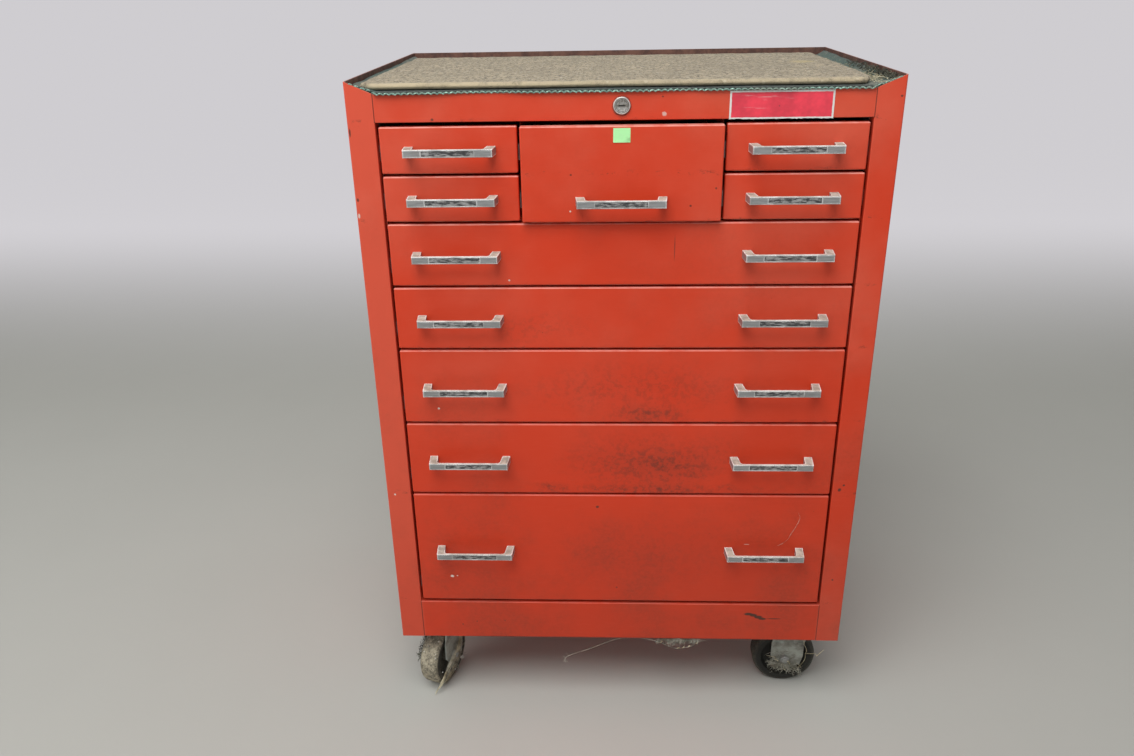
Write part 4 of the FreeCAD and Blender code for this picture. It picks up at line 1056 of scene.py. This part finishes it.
class CABINET_OT_enamel(bpy.types.Operator):
    """Paint the shell and the drawers"""
    bl_idname = "cabinet.enamel"
    bl_label = "Paint the sheet metal"

    def execute(self, context):
        levels = sorted({round(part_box(node)[0][2], 4) for node in body_nodes("cabinet_enamel")
                         if node.startswith("drawer_")})
        levels.append(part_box("front_top_rail")[0][2])
        dress(body_nodes("cabinet_enamel"), enamel_material(context.scene.cabinet.enamel, levels))
        return {"FINISHED"}


class CABINET_OT_metals(bpy.types.Operator):
    """Finish the pulls, the lock, the slides and the forks"""
    bl_idname = "cabinet.metals"
    bl_label = "Finish the bare metal"

    def execute(self, context):
        settings = context.scene.cabinet.metal
        low, high = corners_of("lock_plug")
        dress(body_nodes("pull_chrome"), pull_material(settings))
        dress(body_nodes("zinc_steel"), zinc_material(settings))
        dress(body_nodes("lock_steel"), lock_material((low.z + high.z) / 2))
        dress(body_nodes("fork_steel"), fork_material(settings))
        return {"FINISHED"}


class CABINET_OT_inlays(bpy.types.Operator):
    """Lay the black strips into the recesses of the pulls"""
    bl_idname = "cabinet.inlays"
    bl_label = "Fit the pull inlays"

    def execute(self, context):
        settings = context.scene.cabinet.metal
        material = inlay_material(settings)
        half_pull, recess = 58.0 * MM, 0.8 * MM
        strip = plate("strip", self.outline(), recess - settings.inlay_sink)
        for name in body_nodes("pull_chrome"):
            low, high = corners_of(name)
            places = [low.x + half_pull]
            if high.x - low.x > 3.0 * half_pull:
                places.append(high.x - half_pull)
            points, faces = [], []
            for place in places:
                start = len(points)
                middle = Vector((place, low.y + recess, (low.z + high.z) / 2))
                points += [vertex.co + middle for vertex in strip.vertices]
                faces += [tuple(start + corner for corner in polygon.vertices)
                          for polygon in strip.polygons]
            add_piece(name.replace("_pull", "_inlay"), mesh_from("inlay", points, faces), material,
                      name.rsplit("_pull", 1)[0] + "_body", smooth=False)
        bpy.data.meshes.remove(strip)
        return {"FINISHED"}

    @staticmethod
    def outline():
        """A strip's outline with rounded corners."""
        half_long, half_high, corner = 32.8 * MM, 3.2 * MM, 0.5 * MM
        return [(sign_x * (half_long - corner) + corner * math.cos(math.radians(start + 30.0 * step)),
                 sign_z * (half_high - corner) + corner * math.sin(math.radians(start + 30.0 * step)))
                for sign_x, sign_z, start in ((1, 1, 0), (-1, 1, 90), (-1, -1, 180), (1, -1, 270))
                for step in range(4)]


class CABINET_OT_wheels(bpy.types.Operator):
    """Finish the four wheels, the front left one dustiest"""
    bl_idname = "cabinet.wheels"
    bl_label = "Finish the wheels"

    def execute(self, context):
        for corner, dusty in (("front_left", 1.0), ("front_right", 0.14), ("rear_left", 0.7),
                              ("rear_right", 0.7)):
            material = wheel_material(corner, context.scene.cabinet.metal, dusty)
            dress([f"wheel_{corner}"], material)
        return {"FINISHED"}


class CABINET_OT_badge(bpy.types.Operator):
    """Stick the bare foil badge on the top rail"""
    bl_idname = "cabinet.badge"
    bl_label = "Fit the badge"

    def execute(self, context):
        low = Vector((131.5 * MM, FRONT, 922.6 * MM))
        high = Vector((258.0 * MM, FRONT, 956.8 * MM))
        width = high.x - low.x
        rng = random.Random(SEED)
        outline = []
        columns, top_columns = 46, 12
        curl_width, curl_height = 9.0 * MM, 34.0 * MM
        for step in range(columns + 1):
            ragged = rng.uniform(-0.25, 0.9) * MM if 0 < step < columns else 0.0
            outline.append((low.x + step / columns * width, low.z + ragged))
        for step in range(top_columns, -1, -1):
            outline.append((low.x + step / top_columns * width, high.z + rng.uniform(-0.1, 0.1) * MM))

        def lift(x, z):
            """The lower right corner curls forward."""
            side = max(0.0, (x - high.x + curl_width) / curl_width)
            corner = side * max(0.0, (high.z - z) / curl_height)
            return 0.5 * MM * corner * corner

        add_piece("badge_plate", plate("badge", outline, 0.3 * MM, FRONT, lift),
                  foil_material(context.scene.cabinet.sticker, low, high), "cabinet", smooth=False)
        return {"FINISHED"}


class CABINET_OT_label(bpy.types.Operator):
    """Stick the bare green label on the middle drawer"""
    bl_idname = "cabinet.label"
    bl_label = "Fit the label"

    def execute(self, context):
        left, right, foot, top = -10.4 * MM, 10.8 * MM, 897.8 * MM, 915.3 * MM
        corners = ((left, foot), (right, foot), (right, top), (left, top))
        per_side, curl_height = 6, 5.0 * MM
        outline = [(start[0] + step / per_side * (end[0] - start[0]),
                    start[1] + step / per_side * (end[1] - start[1]))
                   for start, end in zip(corners, corners[1:] + corners[:1]) for step in range(per_side)]

        def lift(x, z):
            """The lower edge curls forward."""
            return 0.6 * MM * max(0.0, (foot + curl_height - z) / curl_height) ** 2

        mesh = plate("label", outline, 0.15 * MM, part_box("drawer_middle")[0][1], lift)
        add_piece("label_plate", mesh, paper_material(context.scene.cabinet.sticker),
                  "drawer_middle_body", smooth=False)
        return {"FINISHED"}


def share_past(value, start, length):
    """How far a value is past the start of a stretch, from 0 to 1 at its end."""
    return min(1.0, max(0.0, (value - start) / length))


def liner_front(x):
    """Front edge of the liner: it overhangs the rail, and stops behind the posts."""
    wave = noise.noise(Vector((x * 9.0, 3.1, 0.0))) * 2.6 + noise.noise(Vector((x * 31.0, 8.4, 0.0))) * 0.9
    behind_post = share_past(abs(x), 304.0 * MM, 5.0 * MM)
    return (FRONT + (wave - 2.2) * MM) * (1.0 - behind_post) + (FRONT + 1.6 * MM) * behind_post


def liner_height(x, y, base):
    """Top surface of the liner: it ripples, and rides up behind the posts' sloped tops."""
    behind = y - FRONT
    side = max(0.0, (abs(x) - 303.0 * MM) / (36.0 * MM))
    climb = 11.5 * MM * min(1.0, side) ** 1.2 * max(0.0, 1.0 - behind / (60.0 * MM)) ** 1.5
    curled = share_past(abs(x), 325.0 * MM, 15.0 * MM) ** 1.6
    reach = (6.5 + 3.5 * noise.noise(Vector((0.3, y * 17.0, 5.0)))) * MM
    ripple = 0.35 * MM * noise.noise(Vector((x * 22.0, y * 22.0, 1.7)))
    droop = 1.4 * MM * max(0.0, (1.5 * MM - behind) / (4.0 * MM)) ** 1.3 * (1.0 - min(1.0, side * 3.0))
    return base + max(climb, curled * reach) + ripple - min(droop, 1.6 * MM)


class CABINET_OT_liner(bpy.types.Operator):
    """Lay the green mesh liner with its scalloped front edge"""
    bl_idname = "cabinet.liner"
    bl_label = "Lay the liner"

    def execute(self, context):
        settings = context.scene.cabinet.top
        low, high = corners_of("tray_liner")
        thickness, overhang = 2.4 * MM, 3.0 * MM
        base = low.z - 0.1 * MM

        def point(u, v, side):
            """A point of the liner; its rows lie closer together at the front."""
            x = low.x + (high.x - low.x) * u
            front = liner_front(x)
            y = front + (high.y - front) * v ** 1.25
            return Vector((x, y, liner_height(x, y, base) + side * thickness))

        # 0.85 sets the painted shadow along the liner's front
        liner = add_piece("liner_sheet", slab_mesh("liner", 136, 88, point),
                          liner_material("liner_fabric", settings.liner, 0.85), "cabinet")
        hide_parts("tray_liner")
        edge = self.add_edge(low, high, base + thickness * 0.4, settings)
        return {"FINISHED"}

    @staticmethod
    def add_edge(low, high, base, settings):
        """The thick scalloped selvage along the front."""
        steps_each = 7
        start, end = low.x + 1.5 * MM, high.x - 1.5 * MM
        steps = int((end - start) / settings.scallop) * steps_each
        path, radii = [], []
        for step in range(steps + 1):
            x = start + (end - start) * step / steps
            wave = abs(math.sin(math.pi * step / steps_each))
            y = liner_front(x) - (0.5 + 0.5 * wave) * MM
            path.append(Vector((x, y, liner_height(x, y, base) + (1.9 * wave - 0.8) * MM)))
            radii.append((0.8 + 0.2 * wave) * MM)
        material = liner_material("liner_selvage", settings.liner_edge, 0.0)
        return add_piece("liner_edge", mesh_from("liner_edge", *tube(path, radii, 8)), material,
                         "cabinet")


class CABINET_OT_pad(bpy.types.Operator):
    """Lay the worn pad on the liner"""
    bl_idname = "cabinet.pad"
    bl_label = "Lay the pad"

    def execute(self, context):
        low, high = corners_of("top_pad")
        centre, half = (low + high) / 2, (high - low) / 2

        def towards_rim(share):
            """A share of a side as -1 to 1, with its steps closer at the rim."""
            share = 2.0 * share - 1.0
            return math.copysign(1.0 - (1.0 - abs(share)) ** 1.35, share)

        def point(u, v, side):
            """A point of the pad."""
            return self.pad_point(centre, half, towards_rim(u), towards_rim(v), side)

        pad = add_piece("pad_block", slab_mesh("pad", 150, 92, point),
                        pad_material(context.scene.cabinet.top, low), "cabinet")
        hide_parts("top_pad")
        return {"FINISHED"}

    @staticmethod
    def pad_point(centre, half, u, v, side):
        """A point of the pad's top or underside; its rim is rolled and its outline wanders."""
        x = centre.x + u * half.x
        y = centre.y + v * half.y
        rim = min((1.0 - abs(u)) * half.x, (1.0 - abs(v)) * half.y)
        share = min(1.0, rim / (5.0 * MM))
        round_off = math.sqrt(max(0.0, 1.0 - (1.0 - share) ** 2))
        lower_left = max(0.0, (-u - 0.93) / 0.07) * max(0.0, (-v - 0.9) / 0.1)
        lower_right = max(0.0, (u - 0.94) / 0.06) * max(0.0, (-v - 0.86) / 0.14)
        wander = 1.8 * MM * noise.noise(Vector((x * 14.0, y * 14.0, 4.0)))
        x += wander * abs(u) ** 6 + (9.0 * lower_left - 10.0 * lower_right) * MM
        y += wander * abs(v) ** 6 + (7.0 * lower_left + 5.0 * lower_right) * MM
        if v < 0.0:
            y -= 1.6 * MM * (1.0 - share) * (1.0 - lower_left) * (1.0 - lower_right)
        z = centre.z + (1.0 if side else -1.0) * half.z * (0.15 + 0.85 * round_off)
        if side:
            rough = noise.fractal(Vector((x * 38.0, y * 38.0, 2.0)), 0.9, 2.0, 4)
            z += (min(0.5, 0.6 * rough) * round_off - 0.35) * MM
        return Vector((x, y, z))


class CABINET_OT_lint(bpy.types.Operator):
    """Scatter straws and lint in the tray's corner and round the casters"""
    bl_idname = "cabinet.lint"
    bl_label = "Scatter lint"

    def execute(self, context):
        rng = random.Random(SEED + 1)
        straw = fibre_material("straw", (0.68, 0.62, 0.44), (0.34, 0.29, 0.18))
        lint = fibre_material("lint", (0.42, 0.41, 0.34), (0.17, 0.16, 0.12))
        chaff = fibre_material("chaff", (0.36, 0.3, 0.2), (0.13, 0.1, 0.065))
        dirt = fibre_material("dirt", (0.1, 0.1, 0.07), (0.03, 0.03, 0.022))
        self.tray_straws(context.scene.cabinet.top.straws, rng, straw)
        self.tray_dirt(rng, dirt)
        self.caster_lint(rng, lint)
        self.left_bundle(rng, straw, lint, chaff, dirt)
        self.right_tangle(rng, straw, lint)
        self.hanging_threads(rng, lint, straw)
        self.front_hair(fibre_material("hair", (0.75, 0.6, 0.48), (0.4, 0.2, 0.14)))
        return {"FINISHED"}

    @staticmethod
    def tray_straws(count, rng, material):
        """Straws on the liner beside the pad."""
        liner_top, left, right, highest = 961.2 * MM, 309.0 * MM, 338.5 * MM, 971.5 * MM
        strands = []
        for _ in range(count):
            near_corner = rng.random() < 0.7
            x = rng.uniform(311.0, 334.0) * MM
            y = (rng.gauss(-130.0, 42.0) if near_corner else rng.uniform(-190.0, 200.0)) * MM
            y = min(0.2, max(-0.195, y))
            z = liner_height(x, y, liner_top) + 0.4 * MM
            angle = rng.uniform(0.0, 2.0 * math.pi)
            heading = Vector((math.cos(angle) * 0.5, math.sin(angle), rng.uniform(-0.02, 0.1)))
            path, radius = fibre(rng, Vector((x, y, z)), heading, (6.0, 26.0), 0.16, (0.2, 0.6))
            strands.append((boxed(path, (left, -FREE, z), (right, FREE, highest)), radius))
        add_fibres("tray_straws", strands, material, "cabinet")

    @staticmethod
    def tray_dirt(rng, material):
        """Dark fluff in the corner between the liner and the right rim."""
        low, high = (-FREE, -208.5 * MM, 963.5 * MM), (341.2 * MM, FREE, 972.2 * MM)
        strands = []
        for _ in range(260):
            y = min(0.1, rng.triangular(-205.0, 80.0, -175.0) * MM)
            start = Vector((rng.uniform(331.0, 340.2) * MM, y, rng.uniform(963.5, 971.0) * MM))
            heading = Vector((rng.uniform(-0.3, 0.1), rng.uniform(-1.0, 1.0), rng.uniform(-0.3, 0.3)))
            path, radius = fibre(rng, start, heading, (4.0, 14.0), 0.5, (0.2, 0.7))
            strands.append((boxed(path, low, high), radius))
        add_fibres("tray_dirt", strands, material, "cabinet")

    @staticmethod
    def caster_lint(rng, material):
        """Fibres wound round each axle between wheel and fork, with loose ends."""
        beside_fork, above_floor = 21.0 * MM, 3.0 * MM
        for corner, amount in (("front_left", 60), ("front_right", 60), ("rear_left", 40),
                               ("rear_right", 40)):
            wheel = WheelFrame(corner)
            strands = []
            for _ in range(amount):
                side = rng.choice((-1.0, 1.0))
                angle = rng.uniform(0.0, 2.0 * math.pi)
                radius = rng.uniform(10.0, 21.0)
                start = wheel.at(radius * math.cos(angle), radius * math.sin(angle),
                                 rng.uniform(21.2, 24.5) * side)
                heading = wheel.way(-math.sin(angle), math.cos(angle), 0.25 * side)
                path, thickness = fibre(rng, start, heading, (8.0, 30.0), 0.5, (0.12, 0.42))
                for point in path:
                    off = wheel.off(point)
                    if abs(off) < beside_fork:
                        point += wheel.axle * (math.copysign(beside_fork, side) - off)
                    point.z = max(point.z, above_floor)
                strands.append((path, thickness))
            add_fibres(f"lint_{corner}", strands, material, f"swivel_{corner}")

    @staticmethod
    def left_bundle(rng, straw, lint, chaff, dirt):
        """Straws that run down the outer leg of the front left fork and forward to the floor."""
        wheel = WheelFrame("front_left")
        knots = [Vector(knot) for knot in
                 ((24.0, 54.0, 24.5), (20.0, 30.0, 24.5), (12.0, 13.0, 24.5), (1.0, 2.0, 24.5),
                  (-11.0, -4.0, 24.2), (-25.0, -13.0, 23.0), (-37.0, -27.0, 19.5), (-45.0, -41.0, 13.0),
                  (-49.0, -49.0, 9.0))]
        course = smooth_path(knots, 6)
        for name, material, amount, first, last, wide, drop in (
                ("straw_bundle", straw, 46, 0.0, 0.82, 5.0, 0.0),
                ("straw_ends", straw, 9, 0.55, 1.0, 2.5, 0.0),
                ("lint_bundle", lint, 130, 0.28, 0.66, 9.0, 5.0),
                ("chaff_bundle", chaff, 150, 0.3, 0.7, 9.0, 8.0),
                ("dirt_bundle", dirt, 70, 0.3, 0.72, 9.0, 9.0)):
            strands = []
            for index in range(amount):
                start = rng.uniform(first, last - 0.22)
                end = min(last, start + rng.uniform(0.2, 0.5))
                aside = Vector((rng.gauss(0.0, 0.5) * wide, rng.gauss(0.0, 0.5) * wide - drop,
                                rng.uniform(-0.6, 2.6)))
                path = []
                for step in range(9):
                    share = start + (end - start) * step / 8
                    knot = course[min(len(course) - 1, int(share * (len(course) - 1)))]
                    narrow = 1.0 - 0.75 * max(0.0, share - 0.5) / 0.5
                    wave = Vector((math.sin(7.0 * share + index), math.cos(6.0 * share + index), 0.0))
                    point = wheel.at(*(knot + aside * narrow + wave * 1.5))
                    point.z = max(point.z, 1.2 * MM)
                    path.append(point)
                strands.append((path, rng.uniform(0.16, 0.5) * MM))
            add_fibres(name, strands, material, "swivel_front_left")
        strands = []
        for _ in range(70):
            angle = math.radians(rng.uniform(18.0, 66.0))
            radial = wheel.way(-math.cos(angle), math.sin(angle))
            start = (wheel.centre
                     + (radial * rng.uniform(44.0, 50.0) - wheel.axle * rng.uniform(14.0, 15.6)) * MM)
            heading = radial * rng.uniform(-0.2, 0.6) - wheel.axle * rng.uniform(0.5, 1.0)
            strands.append(fibre(rng, start, heading, (4.0, 11.0), 0.7, (0.2, 0.6)))
        add_fibres("tuft_front_left", strands, dirt, "wheel_front_left_body")
        bits = []
        for along, up, off, size in ((15.5, -20.5, 26.0, 2.6), (-38.2, -9.1, 20.0, 0.9),
                                     (-13.7, -10.0, 26.0, 1.1), (-8.9, -24.4, 26.0, 0.9),
                                     (12.0, -17.0, 26.0, 1.9)):
            path = curl(rng, wheel.at(along, up, off), wheel.way(1.0, 0.4), 2.2 * size * MM, 0.2, 4)
            bits.append((path, size * MM))
        add_fibres("bits_front_left", bits, fibre_material("fluff", (0.6, 0.6, 0.56), (0.4, 0.4, 0.36)),
                   "swivel_front_left")

    @staticmethod
    def right_tangle(rng, straw, lint):
        """The tangle below the axle nut of the front right caster, with a few stiff straws."""
        wheel = WheelFrame("front_right")
        beside_fork = 21.4 * MM
        strands = []
        for _ in range(230):
            along = rng.uniform(-27.0, 25.0)
            up = rng.gauss(-2.0 - 0.28 * (along + 27.0), 4.0)
            start = wheel.at(along, up, rng.uniform(24.0, 30.0))
            heading = wheel.way(rng.uniform(-1.0, 1.0), rng.uniform(-0.7, 0.5), rng.uniform(-0.1, 0.2))
            path, radius = fibre(rng, start, heading, (5.0, 15.0), 0.75, (0.15, 0.5))
            for point in path:
                point += wheel.axle * max(0.0, beside_fork - wheel.off(point))
            strands.append((path, radius))
        add_fibres("tangle_front_right", strands, lint, "swivel_front_right")
        strands = []
        for start, end, sag in (((29.0, 44.0), (33.0, 24.0), -2.0), ((33.0, 24.0), (32.5, 12.0), 1.5),
                                ((32.5, 12.0), (27.0, -11.0), 3.0), ((27.0, -11.0), (24.0, -24.0), -2.0),
                                ((32.0, 12.0), (50.0, 13.0), -3.0), ((49.0, 12.5), (51.3, 7.6), 0.5),
                                ((50.8, 8.0), (61.0, 20.0), 0.4), ((51.5, 7.0), (62.5, 21.0), -0.5),
                                ((17.0, -12.0), (25.0, -22.0), 2.0), ((-19.0, 7.0), (-10.0, 1.0), -2.0),
                                ((-5.0, -10.0), (-1.0, -18.0), 2.0), ((-30.0, 8.0), (-17.0, 4.0), 2.0),
                                ((11.0, -10.0), (19.0, -20.0), -2.0), ((20.0, -8.0), (28.0, -17.0), 2.0)):
            path = []
            for step in range(10):
                share = step / 9
                bow = sag * 4.0 * share * (1.0 - share)
                path.append(wheel.at(start[0] + (end[0] - start[0]) * share + bow,
                                     start[1] + (end[1] - start[1]) * share,
                                     24.0 + rng.uniform(-0.3, 0.3)))
            strands.append((path, rng.uniform(0.35, 0.6) * MM))
        for along, up in ((-17.5, 5.4), (3.3, 1.5), (6.0, -2.0), (-14.0, 3.5), (-1.2, -15.5)):
            path = curl(rng, wheel.at(along, up, 30.0), wheel.way(1.0, -0.3), 3.0 * MM, 0.3, 4)
            strands.append((path, 0.9 * MM))
        add_fibres("straws_front_right", strands, straw, "swivel_front_right")

    @staticmethod
    def hanging_threads(rng, lint, straw):
        """A dusty string that hangs from the front's lower edge, and a clump of fluff beside it."""
        string = front_knots(FRONT + 2.0 * MM, (
            (126.0, 127.6), (122.0, 117.0), (110.0, 110.5), (93.0, 107.5), (78.0, 113.0),
            (66.0, 119.0), (50.0, 124.5), (33.0, 127.6), (10.0, 127.0), (-5.0, 124.0),
            (-15.0, 119.5), (-30.0, 112.5), (-45.0, 105.0), (-62.0, 98.0), (-78.0, 91.0),
            (-84.0, 86.0), (-85.0, 80.0), (-81.0, 78.5)))
        strands = [(smooth_path(string, 4), 0.5 * MM)]
        for index in range(6):
            heading = Vector((-1.0, 0.1, rng.uniform(-0.5, 0.5)))
            path = curl(rng, string[-1 - index % 4], heading, rng.uniform(5.0, 12.0) * MM, 0.5)
            strands.append((path, 0.25 * MM))
        lower_edge = 127.8 * MM
        for _ in range(260):
            x = min(125.0, max(64.0, rng.gauss(95.0, 16.0)))
            start = Vector((x * MM, FRONT + rng.uniform(1.0, 4.0) * MM, lower_edge))
            heading = Vector((rng.uniform(-1.3, 1.3), rng.uniform(-0.05, 0.15), -1.0))
            strands.append(fibre(rng, start, heading, (6.0, 18.0), 0.6, (0.15, 0.42)))
        add_fibres("threads_below", strands, lint, "cabinet")
        places = ((66.0, 119.0), (93.0, 108.0), (110.0, 111.0), (122.0, 118.0), (101.0, 109.0))
        chips = []
        for start in front_knots(FRONT + 1.6 * MM, places):
            heading = Vector((1.0, 0.0, rng.uniform(-0.5, 0.5)))
            chips.append((curl(rng, start, heading, 5.0 * MM, 0.3), 0.9 * MM))
        add_fibres("chips_below", chips, straw, "cabinet")

    @staticmethod
    def front_hair(material):
        """A hair stuck to the lowest drawer beside its right pull."""
        knots = front_knots(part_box("drawer_wide_5")[0][1] - 0.35 * MM, (
            (236.0, 303.0), (243.0, 307.5), (250.0, 314.0), (254.5, 324.0), (259.0, 333.0),
            (263.0, 343.0), (265.5, 352.0), (262.0, 361.0)))
        add_fibres("front_hair", [(smooth_path(knots, 4), 0.22 * MM)], material, "drawer_wide_5_body")


class CABINET_PT_finish(bpy.types.Panel):
    """Cabinet finish in the sidebar"""
    bl_label = "Roller Cabinet"
    bl_idname = "CABINET_PT_finish"
    bl_space_type = "VIEW_3D"
    bl_region_type = "UI"
    bl_category = "Cabinet"

    def draw(self, context):
        settings = context.scene.cabinet
        for part in ("enamel", "metal", "top", "sticker", "stage"):
            box = self.layout.box()
            group = getattr(settings, part)
            for name in group.__annotations__:
                box.prop(group, name)
        for operator in OPERATORS:
            self.layout.operator(operator.bl_idname)


SETTINGS = (EnamelSettings, MetalSettings, TopSettings, StickerSettings, StageSettings, CabinetSettings)
OPERATORS = (CABINET_OT_stage, CABINET_OT_enamel, CABINET_OT_metals, CABINET_OT_inlays, CABINET_OT_wheels,
             CABINET_OT_badge, CABINET_OT_label, CABINET_OT_liner, CABINET_OT_pad, CABINET_OT_lint)


def register():
    """Register the classes and the scene's settings."""
    for item in (*SETTINGS, *OPERATORS, CABINET_PT_finish):
        bpy.utils.register_class(item)
    bpy.types.Scene.cabinet = PointerProperty(type=CabinetSettings)


def unregister():
    """Take them away again."""
    del bpy.types.Scene.cabinet
    for item in reversed((*SETTINGS, *OPERATORS, CABINET_PT_finish)):
        bpy.utils.unregister_class(item)


def main():
    """Dress the frame and set the stage."""
    register()
    bpy.ops.cabinet.stage()
    bpy.ops.cabinet.enamel()
    bpy.ops.cabinet.metals()
    bpy.ops.cabinet.inlays()
    bpy.ops.cabinet.wheels()
    bpy.ops.cabinet.badge()
    bpy.ops.cabinet.label()
    bpy.ops.cabinet.liner()
    bpy.ops.cabinet.pad()
    bpy.ops.cabinet.lint()


if __name__ == "__main__":
    main()
